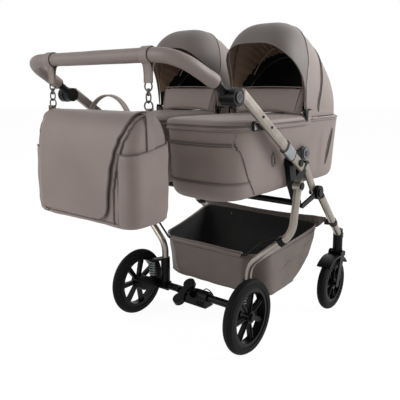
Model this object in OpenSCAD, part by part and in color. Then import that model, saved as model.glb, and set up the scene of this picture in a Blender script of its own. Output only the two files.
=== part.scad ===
/* [Wheels] */
// Rear wheel diameter over the tyre
rear_wheel_d = 250; // [230:1:270]
// Rear tyre width
rear_tyre_w = 44; // [36:1:48]
// Front wheel diameter over the tyre
front_wheel_d = 205; // [190:1:215]
// Front tyre width
front_tyre_w = 38; // [32:1:40]
// Depth of the tyre from tread to rim
tyre_depth = 27; // [20:1:32]
// Depth of the rim ring
rim_depth = 13; // [9:1:18]
// Number of spokes in a wheel
spoke_count = 7; // [5:1:9]
// Distance between the rear wheels' middle planes
rear_track = 512; // [500:1:530]
// Distance between the front wheels' middle planes
front_track = 636; // [620:1:650]
// Distance from the rear to the front wheels' axes
wheelbase = 505; // [480:1:530]
// Distance that a front wheel trails behind its swivel
caster_trail = 51; // [45:1:56]
// Radius of a wheel's axle
axle_r = 6; // [5:0.5:7]

/* [Rear end] */
// Diameter of the rear leg tube
leg_d = 26; // [22:1:28]
// Width of a suspension arm
arm_w = 18; // [16:1:20]
// Distance of the axle beam ahead of the rear axle
beam_y = 90; // [84:1:96]
// Height of the axle beam
beam_z = 97; // [92:1:104]
// Radius of the axle beam
beam_r = 14; // [11:1:16]
// Radius of a suspension spring's turns
spring_r = 11; // [9:0.5:12]
// Radius of the suspension spring's wire
spring_wire_r = 1.8; // [1.2:0.1:2.2]
// Number of turns in a suspension spring
spring_turns = 6; // [5:1:8]

/* [Frame] */
// Distance of a main tube from the middle plane
tube_x = 358; // [356:1:366]
// Width of a frame tube, across the pram
tube_w = 20; // [16:1:20]
// Depth of a frame tube, seen from the side
tube_d = 34; // [28:1:36]
// Distance of a lower tube from the middle plane
lower_x = 327; // [326:1:329]
// Width of a lower tube, across the pram
lower_w = 18; // [14:1:18]
// Diameter of the front leg tube
front_leg_d = 28; // [24:1:30]
// Radius of the frame's hinge pins
hinge_pin_r = 7; // [5:0.5:8]
// Radius of the cross bar under the cots
cross_r = 11; // [9:1:13]
// Radius of a cot adapter
adapter_r = 25; // [22:1:27]
// Length of a fold-lock sleeve
sleeve_l = 56; // [44:1:64]

/* [Handle] */
// Half width of the push handle at its bar
handle_half = 305; // [290:1:315]
// Height of the push bar
handle_z = 954; // [940:1:970]
// Distance of the push bar behind the rear axle
handle_back = 410; // [400:1:430]
// Diameter of the leather grip
grip_d = 40; // [34:1:42]
// Diameter of the arm under the grip
arm_d = 25; // [22:1:25]
// Radius of the tilt hinge's housing
tilt_r = 25; // [22:1:27]

/* [Cots] */
// Distance between the two cots' middle planes
cot_pitch = 367; // [364:1:374]
// Half width of a cot at its rim
cot_half = 152; // [140:1:152]
// Half width of a cot at its floor
cot_floor_half = 135; // [125:1:136]
// Height of a cot's rim
cot_rim_z = 772; // [768:1:776]
// Depth of a cot from its rim to its underside
cot_depth = 235; // [228:1:240]
// Length of a cot from foot end to head end
cot_l = 712; // [690:1:720]
// Distance of a cot's foot end behind the rear axle
cot_foot = 192; // [180:1:196]
// Thickness of a cot's wall
cot_wall = 13; // [9:1:14]
// Thickness of the mattress
mattress_t = 45; // [30:1:60]
// Height of the hood above its pivot
hood_rise = 300; // [285:1:305]
// Thickness of the hood's cloth with its padding
hood_wall = 4; // [3:0.5:5]
// Height of a wind flap
flap_h = 98; // [80:1:110]

/* [Basket] */
// Half width of the basket at its rear hem
basket_rear_half = 165; // [155:1:170]
// Half width of the basket at its front hem
basket_front_half = 278; // [260:1:284]
// Thickness of the basket's cloth
basket_wall = 5; // [4:0.5:7]

/* [Bag] */
// Width of the changing bag
bag_w = 410; // [390:1:420]
// Depth of the changing bag, front to back
bag_d = 146; // [130:1:150]
// Height of the changing bag
bag_h = 300; // [280:1:310]
// Sideways place of the bag's middle
bag_x = 15; // [0:1:25]
// Length of the hanging straps below the push bar
bag_drop = 150; // [144:1:160]

/* [Hidden] */
$fn = 48;

// Clearances: between moving pieces, in a running fit, and where soft pieces lie on something
gap = 0.3;
fit = 0.05;
rear_r = rear_wheel_d / 2;
front_r = front_wheel_d / 2;
taupe = [0.52, 0.47, 0.44];
champagne = [0.66, 0.63, 0.58];
black = [0.11, 0.11, 0.12];
silver = [0.75, 0.75, 0.76];

// Main points of the side frame as [y, z]
deck_z = cot_rim_z - 120;
tube_top = [-200, deck_z + 205];
tube_end = [151, deck_z - 36];
tube_dir = (tube_end - tube_top) / norm(tube_end - tube_top);
fold_c = tube_end - 27 * tube_dir;
tilt_c = [-231, deck_z + 196];
leg_c = [150, deck_z - 100];
front_c = [312, deck_z - 149];
adapter_c = [220, deck_z];
cross_c = [185, deck_z - 168];
lower_top = adapter_c + [16, -43];
caster_y = wheelbase + caster_trail;
caster_x = front_track / 2;
pedal_c = [beam_y - beam_r - 28, beam_z + beam_r + 4];
pedal_x = -58;
lower_in = lower_x - lower_w / 2;
lower_out = lower_x + lower_w / 2;
tube_in = tube_x - tube_w / 2;
tube_out = tube_x + tube_w / 2;
leg_x = tube_in - gap + 2;

// Suspension: the arm lies between the leg's sleeve and the wheel
sleeve_half = leg_d / 2 + 5;
arm_out = rear_track / 2 - rear_tyre_w / 2 - gap - 2;
arm_in = arm_out - arm_w;
foot_x = arm_in - gap - sleeve_half;
spring_x = (arm_in + arm_out) / 2;
spring_y = 46;
spring_base = rear_r + 13;
spring_top = spring_base + 62;

// Cot, hood and bag
cot_x = cot_pitch / 2;
cot_floor_z = cot_rim_z - cot_depth;
hood_c = [222, cot_rim_z + 18];
hood_half = cot_half - 4;
bag_y = -handle_back;
bag_top = handle_z - bag_drop;
flap_y = hood_c[0] - 12;
bag_flap_t = 5;

// The part stands with the middle of its box over the origin
front_most = max(wheelbase + front_r, caster_y + 26);
rear_most = -handle_back - bag_d / 2 - bag_flap_t;
mid_y = (front_most + rear_most) / 2;
module seat() translate([0, -mid_y, 0]) children();

function unit(v) = v / norm(v);

// Rigid frame whose columns are the axes x, y and z with its origin at c
module frame_at(c, x, y, z)
  multmatrix([[x[0], y[0], z[0], c[0]], [x[1], y[1], z[1], c[1]], [x[2], y[2], z[2], c[2]], [0, 0, 0, 1]])
    children();

module rod_x(r, x0, x1, c) translate([x0, c[0], c[1]]) rotate([0, 90, 0]) cylinder(r = r, h = x1 - x0);

module rod(a, b, r) {
  d = unit(b - a);
  tilt = acos(d[2]);
  turn = atan2(d[1], d[0]);
  translate(a) rotate([0, tilt, turn]) cylinder(r = r, h = norm(b - a));
}

// Round tube through the points, with arcs of radius br at its corners. The straights are a hair thinner
// and run a little way into the arcs, so that the two join without faces that only touch.
skin = 0.12;
module bent_tube(pts, r, br) {
  n = len(pts);
  dirs = [for (i = [0:n - 2]) unit(pts[i + 1] - pts[i])];
  turns = [for (i = [0:n - 1]) i == 0 || i == n - 1 ? 0 : acos(dirs[i - 1] * dirs[i])];
  back = [for (a = turns) br * tan(a / 2)];
  into = [for (a = turns) a > 0 ? sqrt(skin * br) : 0];
  for (i = [0:n - 2])
    rod(pts[i] + dirs[i] * (back[i] - into[i]), pts[i + 1] - dirs[i] * (back[i + 1] - into[i + 1]), r - skin);
  for (i = [1:n - 2]) if (turns[i] > 0.01) {
    inward = unit(dirs[i] - dirs[i - 1] * (dirs[i] * dirs[i - 1]));
    c = pts[i] - dirs[i - 1] * back[i] + inward * br;
    frame_at(c, -inward, dirs[i - 1], cross(-inward, dirs[i - 1]))
      rotate_extrude(angle = turns[i]) translate([br, 0]) circle(r = r);
  }
}

// Flat-oval section with its long side along y
module oval(w, d) {
  square([w, d - w], center = true);
  for (s = [-1, 1]) translate([0, s * (d - w) / 2]) circle(d = w);
}

// Flat-oval tube in the plane at x, between two [y, z] points
module oval_tube(x, a, b, w, d) {
  dir = (b - a) / norm(b - a);
  frame_at([x, a[0], a[1]], [1, 0, 0], [0, -dir[1], dir[0]], [0, dir[0], dir[1]])
    linear_extrude(norm(b - a)) oval(w, d);
}

module both_sides() {
  children();
  mirror([1, 0, 0]) children();
}

// Plate in a plane of constant x, drawn as [y, z]
module side_plate(x0, x1) translate([x0, 0, 0]) rotate([90, 0, 90]) linear_extrude(x1 - x0) children();

// Two round ends joined by a web that is a little narrower than they are
link_waist = 0.96;
module link_shape(a, b, ra, rb) {
  d = unit(b - a);
  n = [-d[1], d[0]] * link_waist;
  translate(a) circle(r = ra);
  translate(b) circle(r = rb);
  polygon([a + n * ra, a - n * ra, b - n * rb, b + n * rb]);
}

module strip(a, b, half) {
  n = half * [a[1] - b[1], b[0] - a[0]] / norm(b - a);
  polygon([a + n, a - n, b - n, b + n]);
}

// Wheels
module tyre(x, y, r, w) {
  color([0.16, 0.16, 0.17]) translate([x, y, r]) rotate([0, 90, 0]) rotate_extrude($fn = 96) difference() {
    union() {
      translate([r - tyre_depth, -w / 2 + 4]) square([tyre_depth - 9, w - 8]);
      translate([r - w * 0.42, 0]) intersection() {
        circle(r = w * 0.42);
        translate([0, -w / 2]) square(w);
      }
      translate([r - tyre_depth, -w * 0.42]) square([tyre_depth - w * 0.42, w * 0.84]);
    }
    for (s = [-1, 1]) translate([r - 2.2, s * w * 0.16 - 1]) square([6, 2]);
  }
}

module rim(x, y, r, w, side) {
  outer = r - tyre_depth;
  inner = outer - rim_depth;
  hub_r = 21;
  color(black) translate([x, y, r]) rotate([0, 90, 0]) difference() {
    union() {
      rotate_extrude($fn = 96) translate([inner, -w * 0.36]) difference() {
        square([rim_depth, w * 0.72]);
        translate([rim_depth - 3, w * 0.24]) square([4, w * 0.24]);
      }
      cylinder(r = hub_r, h = w * 0.72, center = true);
      cylinder(r = hub_r - 6, h = w * 0.72 + 6, center = true);
      for (i = [0:spoke_count - 1]) rotate([0, 0, i * 360 / spoke_count + 12]) {
        translate([0, 0, side * w * 0.02]) linear_extrude(w * 0.3, center = true)
          polygon([[hub_r - 4, -7], [inner + 3, -9.5], [inner + 3, 9.5], [hub_r - 4, 7]]);
        translate([hub_r - 4, -1.5, side > 0 ? w * 0.17 : -w * 0.17 - 4]) cube([inner - hub_r + 6, 3, 4]);
      }
    }
    cylinder(r = axle_r + fit, h = w * 2, center = true);
  }
}

module rear_tyre_r() tyre(rear_track / 2, 0, rear_r, rear_tyre_w);
module rear_tyre_l() tyre(-rear_track / 2, 0, rear_r, rear_tyre_w);
module rear_rim_r() rim(rear_track / 2, 0, rear_r, rear_tyre_w, 1);
module rear_rim_l() rim(-rear_track / 2, 0, rear_r, rear_tyre_w, -1);
module front_tyre_r() tyre(caster_x, wheelbase, front_r, front_tyre_w);
module front_tyre_l() tyre(-caster_x, wheelbase, front_r, front_tyre_w);
module front_rim_r() rim(caster_x, wheelbase, front_r, front_tyre_w, 1);
module front_rim_l() rim(-caster_x, wheelbase, front_r, front_tyre_w, -1);

// Rear suspension
hub_end = rear_track / 2 + rear_tyre_w * 0.36 + 3;
module swing_arm_r() color(black) {
  difference() {
    union() {
      side_plate(arm_in, arm_out) {
        link_shape([beam_y, beam_z], [0, rear_r], 18, 27);
        translate([spring_y, spring_base - 22]) square([spring_r * 2 + 6, 36], center = true);
      }
      translate([spring_x, spring_y, spring_base - 4]) cylinder(r = (arm_out - arm_in) / 2, h = 4);
    }
    rod_x(hinge_pin_r + fit, arm_in - 1, arm_out + 1, [beam_y, beam_z]);
  }
  rod_x(axle_r, arm_out, hub_end + 1, [0, rear_r]);
  rod_x(axle_r + 5, hub_end + gap, hub_end + 4, [0, rear_r]);
}
module swing_arm_l() mirror([1, 0, 0]) swing_arm_r();

module coil(x, y, z0, z1) {
  sides = 6;
  steps = spring_turns * 8;
  rise = (z1 - z0) / (360 * spring_turns) * 180 / PI / spring_r;
  lean = atan(rise);
  pts = [for (i = [0:steps]) let (a = i * 360 * spring_turns / steps)
    for (j = [0:sides - 1]) let (b = j * 360 / sides, u = spring_wire_r * cos(b), v = spring_wire_r * sin(b))
      [(spring_r + u) * cos(a) + v * sin(a) * sin(lean), (spring_r + u) * sin(a) - v * cos(a) * sin(lean),
       (z1 - z0) * i / steps + v * cos(lean)]];
  walls = [for (i = [0:steps - 1], j = [0:sides - 1]) let (k = (j + 1) % sides, a = i * sides, b = a + sides)
    each [[a + j, b + k, a + k], [a + j, b + j, b + k]]];
  ends = [for (j = [1:sides - 2]) each [[0, j, j + 1],
    [steps * sides, steps * sides + j + 1, steps * sides + j]]];
  translate([x, y, z0]) polyhedron(pts, concat(walls, ends));
}
module coil_spring_r() color([0.55, 0.6, 0.58])
  coil(spring_x, spring_y, spring_base + spring_wire_r + gap, spring_top - spring_wire_r - gap);
module coil_spring_l() mirror([1, 0, 0]) coil_spring_r();

leg_y = beam_y + 4;
leg_low = beam_z + 33;
leg_rise = leg_c[1] - leg_low;
leg_route = [[leg_x, leg_c[0], leg_c[1]], [leg_x, leg_y + 22, leg_low + 0.6256 * leg_rise],
  [foot_x, leg_y, leg_low + 0.3128 * leg_rise], [foot_x, leg_y, leg_low]];
module rear_leg_tube(r) bent_tube(leg_route, r, 80);
module rear_legs() color(champagne) both_sides() difference() {
  union() {
    rear_leg_tube(leg_d / 2);
    rod_x(leg_d / 2 + 5, leg_x - leg_d / 2, leg_x + leg_d / 2, leg_c);
  }
  rod_x(hinge_pin_r + fit, leg_x - leg_d, leg_x + leg_d, leg_c);
}
module leg_sleeves() color(black) both_sides() {
  difference() {
    union() {
      translate([foot_x, leg_y, beam_z]) cylinder(r = sleeve_half, h = spring_top + 8 - beam_z);
      rod_x(beam_r + 6, foot_x - 20, foot_x + sleeve_half, [beam_y, beam_z]);
      translate([0, 0, spring_top]) linear_extrude(8)
        link_shape([spring_x, spring_y], [foot_x, leg_y], 10, sleeve_half - 1);
    }
    rod([foot_x, leg_y, leg_low], [foot_x, leg_y, leg_low + leg_rise * 0.31], leg_d / 2);
    rod_x(beam_r, -foot_x, foot_x, [beam_y, beam_z]);
  }
  rod_x(hinge_pin_r, foot_x + 6, arm_out, [beam_y, beam_z]);
}
module axle_beam() color(black) rod_x(beam_r, -foot_x, foot_x, [beam_y, beam_z]);

// Brake
pedal_shaft_r = 5;
pedal_slot = 25.5;
cheek_t = 6;
module brake_housing() color(black) difference() {
  union() {
    side_plate(pedal_x - pedal_slot - cheek_t, pedal_x + 84) {
      translate([beam_y, beam_z]) circle(r = beam_r + 9);
      translate([beam_y - beam_r - 9, beam_z - 34]) square([2 * beam_r + 18, 34]);
    }
    for (s = [0, 1]) side_plate(pedal_x + (s ? pedal_slot : -pedal_slot - cheek_t),
        pedal_x + (s ? pedal_slot + cheek_t : -pedal_slot))
      link_shape([beam_y, beam_z], pedal_c, beam_r + 6, 11);
  }
  rod_x(beam_r, -foot_x, foot_x, [beam_y, beam_z]);
  translate([pedal_x - pedal_slot, pedal_c[0] - 60, beam_z + beam_r + 2]) cube([2 * pedal_slot, 140, 80]);
  rod_x(pedal_shaft_r + fit, pedal_x - 40, pedal_x + 40, pedal_c);
  for (i = [0, 1]) translate([pedal_x + 40, beam_y - 24, beam_z - 26 + i * 9]) cube([36, 48, 4]);
}
// Rocker with a round lobe at each end, on a cross shaft
pedal_slope = 32;
lobe_r = 23;
lobe_at = 36;
module brake_pedal() color(black) translate([pedal_x, pedal_c[0], pedal_c[1]]) {
  rod_x(pedal_shaft_r, -pedal_slot - 5, pedal_slot + 5, [0, 0]);
  rotate([pedal_slope, 0, 0]) linear_extrude(16, center = true) {
    for (s = [-1, 1]) translate([0, s * lobe_at]) circle(r = lobe_r);
    square([lobe_r * 1.2, 2 * lobe_at], center = true);
  }
}
cable_route = [[6, 82, 119.9], [12, 78, 130], [24, 76, 139], [38, 78, 134], [46, 84, 122], [48, 88, 111.6]];
module brake_cable() color(black) bent_tube(cable_route, 2, 7);

// Side frame
module main_tube(x) difference() {
  oval_tube(x, tube_top, tube_end, tube_w, tube_d);
  rod_x(tilt_r + 0.01, tube_in - 5, tube_out + 9, tilt_c);
  rod_x(hinge_pin_r + fit, tube_in - 9, tube_out + 9, fold_c);
}
module main_tubes() color(champagne) both_sides() main_tube(tube_x);
sleeve_at = tube_top + 292 * tube_dir;
module lock_sleeve_r() color(silver) difference() {
  oval_tube(tube_x, sleeve_at, sleeve_at + sleeve_l * tube_dir, tube_w + 7, tube_d + 7);
  oval_tube(tube_x, tube_top, tube_end, tube_w + 2 * gap, tube_d + 2 * gap);
}
module lock_sleeve_l() mirror([1, 0, 0]) lock_sleeve_r();

module knuckle_shape() {
  link_shape(fold_c, adapter_c, 20, adapter_r - 5);
  link_shape(fold_c, leg_c, 20, 18);
  link_shape(leg_c, cross_c, 18, 16);
  link_shape(leg_c, lower_top, 18, 16);
}
module knuckles() color(black) both_sides() {
  difference() {
    side_plate(lower_in, lower_out) difference() {
      knuckle_shape();
      strip(lower_top, front_c, (tube_d - 4) / 2);
    }
    rod_x(cross_r, lower_in - 1, lower_out + 1, cross_c);
    rod_x(adapter_r, lower_in - 1, lower_out + 1, adapter_c);
  }
  rod_x(hinge_pin_r, lower_out, tube_out, fold_c);
  rod_x(hinge_pin_r + 4, lower_out, tube_in - gap, fold_c);
  rod_x(hinge_pin_r + 5, tube_out + gap, tube_out + 4, fold_c);
  rod_x(hinge_pin_r, tube_out, tube_out + 4, fold_c);
  rod_x(hinge_pin_r, lower_out, leg_x + leg_d / 2 + gap, leg_c);
  rod_x(hinge_pin_r + 5, leg_x + leg_d / 2 + gap, leg_x + leg_d / 2 + 4, leg_c);
}
module lower_tubes() color(champagne) both_sides() difference() {
  oval_tube(lower_x, lower_top, front_c + 14 * unit(front_c - lower_top), lower_w, tube_d - 4);
  rod_x(hinge_pin_r + fit, lower_in - 1, lower_out + 1, front_c);
}
button_r = 10;
module adapters() color([0.45, 0.45, 0.46]) both_sides() difference() {
  union() {
    rod_x(adapter_r, lower_in, lower_out, adapter_c);
    rod_x(adapter_r - 4, lower_out, lower_out + 6, adapter_c);
  }
  rod_x(button_r + fit, lower_out - 8, lower_out + 9, adapter_c);
}
module adapter_button_r() color([0.12, 0.16, 0.3]) rod_x(button_r, lower_out - 4, lower_out + 9, adapter_c);
module adapter_button_l() mirror([1, 0, 0]) adapter_button_r();
module cross_bar() color(black) rod_x(cross_r, -lower_out, lower_out, cross_c);

// Front end
hinge_in = lower_out + gap;
hinge_out = hinge_in + 16;
leg_axis_x = hinge_in + front_leg_d / 2 - 4;
module front_hinge_discs() color(black) both_sides() {
  rod_x(25, hinge_in, hinge_out, front_c);
  rod_x(15, hinge_out, hinge_out + 4, front_c);
  rod_x(hinge_pin_r, lower_in - 2, hinge_in, front_c);
  rod_x(hinge_pin_r + 4, lower_in - 5, lower_in - gap, front_c);
}
leg_top = [leg_axis_x, front_c[0] + 8, front_c[1] - 6];
front_leg_foot = [caster_x + 2, caster_y - 6, 296];
module front_legs() color(champagne) both_sides() difference() {
  rod(leg_top, front_leg_foot, front_leg_d / 2);
  rod_x(25, hinge_in - 40, hinge_out + 40, front_c);
  translate([caster_x, caster_y, 0]) cylinder(r = 19, h = 400);
}
module stay_links() color(black) both_sides() difference() {
  side_plate(hinge_in + 2, hinge_in + 10) link_shape(front_c, [196, 474], 9, 8);
  rod_x(25, hinge_in - 1, hinge_out + 1, front_c);
}
crown_z = front_wheel_d + 24;
module caster_housings() color(black) both_sides() translate([caster_x, caster_y, crown_z + gap])
difference() {
  union() {
    cylinder(r = 19, h = 80);
    translate([0, 0, 80]) cylinder(r1 = 19, r2 = 13, h = 6);
    for (s = [-1, 1]) translate([s * 9 - 2, 14, 42]) cube([4, 14, 22]);
  }
  translate([0, 0, -1]) cylinder(r = 8 + fit, h = 61);
  translate([-30, 23, 53]) rotate([0, 90, 0]) cylinder(r = 2 + fit, h = 60);
}
module swivel_toggle_r() color(black) translate([caster_x, caster_y + 23, crown_z + gap + 53]) {
  rod_x(2, -10.5, 10.5, [0, 0]);
  side_plate(-6.6, 6.6) link_shape([0, 0], [5, 22], 3.4, 4.5);
}
module swivel_toggle_l() mirror([1, 0, 0]) swivel_toggle_r();
fork_in = front_tyre_w / 2 + 3;
module fork_r() color(black) translate([caster_x, 0, 0]) {
  translate([0, caster_y, crown_z - 10]) cylinder(r = 20, h = 10);
  translate([0, caster_y, crown_z]) cylinder(r = 8, h = 58);
  for (s = [-1, 1]) mirror([s < 0 ? 1 : 0, 0, 0]) side_plate(fork_in, fork_in + 6) {
    link_shape([caster_y - 8, crown_z - 16], [wheelbase, front_r], 17, 12);
  }
  intersection() {
    translate([0, wheelbase, front_r]) rotate([0, 90, 0]) rotate_extrude($fn = 72) translate([front_r + 7, 0])
      square([7, 2 * fork_in + 12], center = true);
    side_plate(-40, 40) translate([wheelbase, front_r]) polygon([[0, 0], [175, 150], [60, 220], [-95, 110]]);
  }
  translate([-fork_in - 6, caster_y - 20, crown_z - 24]) difference() {
    cube([2 * fork_in + 12, 34, 18]);
    translate([-1, wheelbase - caster_y + 20, front_r - crown_z + 24]) rotate([0, 90, 0])
      cylinder(r = front_r + 5, h = 99);
  }
  rod_x(axle_r, -fork_in, fork_in, [wheelbase, front_r]);
}
module fork_l() mirror([1, 0, 0]) fork_r();

// Push handle
housing_in = tube_in;
module tilt_housing() difference() {
  rod_x(tilt_r, housing_in, tube_out + 4, tilt_c);
  rod_x(16 + fit, tube_out - 4, tube_out + 9, tilt_c);
  rod_x(hinge_pin_r + fit, housing_in - 1, housing_in + 12, tilt_c);
}
module tube_rivets() both_sides() for (along = [118, 176])
  rod_x(4, tube_out, tube_out + 2, tube_top + along * tube_dir);
module hinge_housings() color(black) {
  both_sides() tilt_housing();
  tube_rivets();
}
module tilt_button_r() color(silver) rod_x(16, tube_out, tube_out + 7, tilt_c);
module tilt_button_l() mirror([1, 0, 0]) tilt_button_r();
hub_out = housing_in - gap;
hub_in = hub_out - 26;
arm_x = (hub_in + hub_out) / 2;
arm_route = [[arm_x, tilt_c[0] - 16, tilt_c[1] + 13], [arm_x, tilt_c[0] - 44, tilt_c[1] + 34],
  [handle_half, -handle_back, handle_z], [0, -handle_back, handle_z]];
grip_start = arm_route[1] + 8 * unit(arm_route[2] - arm_route[1]);
grip_bend = 85;
module handle_arms() color(black) both_sides() {
  rod_x(tilt_r - 2, hub_in, hub_out, tilt_c);
  bent_tube([arm_route[0], arm_route[1], grip_start], arm_d / 2, 24);
  rod_x(hinge_pin_r, hub_out, housing_in + 10, tilt_c);
}
module handle_grip() color([0.5, 0.46, 0.44])
  bent_tube(concat([grip_start, arm_route[2]], [for (i = [2, 1]) let (q = i == 2 ? arm_route[2] : grip_start)
    [-q[0], q[1], q[2]]]), grip_d / 2, grip_bend);

// Cots
module plan(half, y0, y1, r_foot, r_head) {
  for (s = [-1, 1]) {
    translate([s * (half - r_foot), y0 + r_foot]) circle(r = r_foot, $fn = 32);
    translate([s * (half - r_head), y1 - r_head]) circle(r = r_head, $fn = 32);
  }
}
module layer(z, half, foot_in, head_in) translate([0, 0, z]) linear_extrude(0.5)
  hull() plan(half, -cot_foot + foot_in, cot_l - cot_foot - head_in, half * 0.72, half * 0.5);
module tub(inset, floor_z, rim_z) hull() {
  layer(floor_z, cot_floor_half - inset - 20, inset + 24, inset + 14);
  layer(floor_z + 24, cot_floor_half - inset, inset + 7, inset + 2);
  layer(rim_z - 0.5, cot_half - inset, inset, inset);
}
module cot_shell_r() color(taupe) translate([cot_x, 0, 0]) difference() {
  tub(0, cot_floor_z, cot_rim_z);
  tub(cot_wall, cot_floor_z + cot_wall, cot_rim_z + 1);
  translate([lower_in - gap - cot_x, fold_c[0] - 24, cot_floor_z - 1])
    cube([40, front_c[0] + 40 - fold_c[0] + 24, adapter_c[1] + adapter_r + 1 - cot_floor_z]);
}
module cot_shell_l() mirror([1, 0, 0]) cot_shell_r();
mattress_z = cot_floor_z + cot_wall + gap;
module mattress_r() color([0.9, 0.89, 0.86]) translate([cot_x, 0, 0]) hull() {
  layer(mattress_z, cot_floor_half - cot_wall - 25, 46, 40);
  layer(mattress_z + mattress_t * 0.5, cot_floor_half - cot_wall - 8, 34, 28);
  layer(mattress_z + mattress_t * 0.85, cot_floor_half - cot_wall - 18, 46, 40);
  layer(mattress_z + mattress_t, cot_floor_half - cot_wall - 60, 120, 110);
}
module mattress_l() mirror([1, 0, 0]) mattress_r();
flap_lean = 16;
flap_rod = [flap_y + 4 * sin(flap_lean), cot_rim_z + 10 + 4 * cos(flap_lean)];
apron_end = flap_rod[0] - 4 - gap;
module apron_r() color(taupe) translate([cot_x, 0, 0]) intersection() {
  difference() {
    hull() {
      layer(cot_rim_z - 26, cot_half + 3, -3, -3);
      layer(cot_rim_z + 4, cot_half + 3, -3, -3);
      layer(cot_rim_z + 13, cot_half - 30, 30, 30);
    }
    hull() {
      layer(cot_rim_z - 40, cot_half + gap, -gap, -gap);
      layer(cot_rim_z, cot_half + gap, -gap, -gap);
    }
  }
  translate([-cot_half - 9, -cot_foot - 9, cot_rim_z - 60])
    cube([2 * cot_half + 18, cot_foot + 9 + apron_end, 120]);
}
module apron_l() mirror([1, 0, 0]) apron_r();
flap_z = cot_rim_z + 10;
module wind_flap_r() color(taupe) translate([cot_x, flap_y, flap_z]) rotate([-flap_lean, 0, 0]) {
  rotate([90, 0, 0]) linear_extrude(4, center = true)
    polygon([[-122, 4], [122, 4], [132, flap_h], [-132, flap_h]]);
  rod_x(4, -122, 122, [0, 4]);
}
module wind_flap_l() mirror([1, 0, 0]) wind_flap_r();

// Sheet between two grids of points, given as rows of equal length
module sheet_between(outer, inner) {
  m = len(outer);
  n = len(outer[0]);
  e = m * n;
  skins = [for (i = [0:m - 2], j = [0:n - 2]) let (a = i * n + j, b = a + 1, c = a + n, d = c + 1)
    each [[a, d, b], [a, c, d], [e + a, e + b, e + d], [e + a, e + d, e + c]]];
  row_ends = [for (j = [0:n - 2]) let (a = j, b = j + 1, c = e - n + j, d = c + 1)
    each [[b, e + a, a], [b, e + b, e + a], [c, e + d, d], [c, e + c, e + d]]];
  side_ends = [for (i = [0:m - 2]) let (a = i * n, c = a + n, b = c - 1, d = b + n)
    each [[a, e + c, c], [a, e + a, e + c], [d, e + b, b], [d, e + d, e + b]]];
  polyhedron(concat([for (row = outer) each row], [for (row = inner) each row]),
    concat(skins, row_ends, side_ends));
}
function smooth_step(t) = let (k = min(1, max(0, t))) k * k * (3 - 2 * k);

// Point of the hood: a runs over the arch, angle sweeps from the cot's head to the visor. The arch is boxy
// where it stands on the cot and round from hood_round on; beyond peak_from it dips into a peak.
arch_half = [1.1, 3, 6, 10, 15, 21, 28, 36, 45, 55, 66, 78];
arch_at = concat(arch_half, [90], [for (i = [len(arch_half) - 1:-1:0]) 180 - arch_half[i]]);
hood_round = 55;
peak_from = 86;
peak_dip = 52;
function hood_point(a, angle, grow) = let (k = smooth_step(angle / hood_round),
    dip = peak_dip * pow(max(0, angle - peak_from) / 30, 2),
    high = (hood_rise + grow - dip) * pow(sin(a), 0.4 + 0.4 * k),
    wide = (hood_half + grow) * sign(cos(a)) * pow(abs(cos(a)), 0.35 + 0.23 * k))
  [cot_x + wide, hood_c[0] + high * cos(angle), hood_c[1] + high * sin(angle)];
hood_rows = [0, 7, 14, 22, 30, 38, 47, 56, 66, 76, 86, 95];
function hood_grid(grow) = concat(
  [[for (a = arch_at) let (p = hood_point(a, 0, grow)) [p[0], p[1], cot_rim_z + gap]]],
  [for (angle = hood_rows) [for (a = arch_at) hood_point(a, angle, grow)]]);
module hood_r() color(taupe) sheet_between(hood_grid(0), hood_grid(-hood_wall));
module hood_l() mirror([1, 0, 0]) hood_r();
visor_back = 79;
visor_side = 98;
visor_front = 115.5;
visor_gap = 1;
visor_t = 3;
function visor_edge(a) = let (k = smooth_step((pow(sin(a), 0.8) - 0.13) / 0.82))
  visor_side + (visor_front - visor_side) * k;
function visor_grid(grow) = [for (t = [0:1 / 6:1.001]) [for (a = arch_at)
  hood_point(a, visor_back + (visor_edge(a) - visor_back) * t, grow)]];
module visor_r() color(taupe) {
  sheet_between(visor_grid(visor_gap + visor_t), visor_grid(visor_gap));
  for (s = [-1, 1]) translate([cot_x, 0, 0]) mirror([s < 0 ? 1 : 0, 0, 0])
    rod_x(15, hood_half + gap, hood_half + visor_gap + visor_t + 1.2, hood_c);
}
module visor_l() mirror([1, 0, 0]) visor_r();

// Basket: lofted between the hem and the floor, wide ahead of the rear legs
basket_front = 475;
basket_floor = 128;
module tub_corner(x, y, z, r) translate([x, y, z]) cylinder(r = r, h = 1, $fn = 24);
module basket_form(inset, lift) hull() for (s = [-1, 1]) {
  tub_corner(s * (basket_rear_half - 14 - inset), 112 + inset, 287 + lift, 12);
  tub_corner(s * (basket_front_half - 62 - inset), 168 + inset, 297 + lift, 20);
  tub_corner(s * (basket_front_half - 24 - inset), basket_front - 24 - inset, 347 + lift, 24);
  tub_corner(s * (basket_rear_half - 32 - inset), 130 + inset, basket_floor + 15 + inset, 12);
  tub_corner(s * (basket_front_half - 66 - inset), 185 + inset, basket_floor + inset, 24);
  tub_corner(s * (basket_front_half - 72 - inset), 330 - inset, basket_floor + 4 + inset, 28);
  tub_corner(s * (basket_front_half - 38 - inset), basket_front - 29 - inset, 232 + inset * 0.5, 24);
}
hoop_r = 4;
hoop_at = [98, 291];
hem_half = basket_rear_half - 15;
module basket() color(taupe) difference() {
  union() {
    difference() {
      basket_form(0, 0);
      basket_form(basket_wall, 40);
    }
    rod_x(hoop_r + 3.5, -hem_half, hem_half, hoop_at);
  }
  rod_x(hoop_r + gap, -basket_rear_half - 9, basket_rear_half + 9, hoop_at);
}
leg_fall = unit(leg_route[2] - leg_route[1]);
clip_at = leg_route[1] + 46 * leg_fall;
hoop_route = [clip_at + [-9.7, 0, 11.4], [240, 104, 345], [basket_rear_half + 14, hoop_at[0], hoop_at[1]],
  [0, hoop_at[0], hoop_at[1]]];
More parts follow.
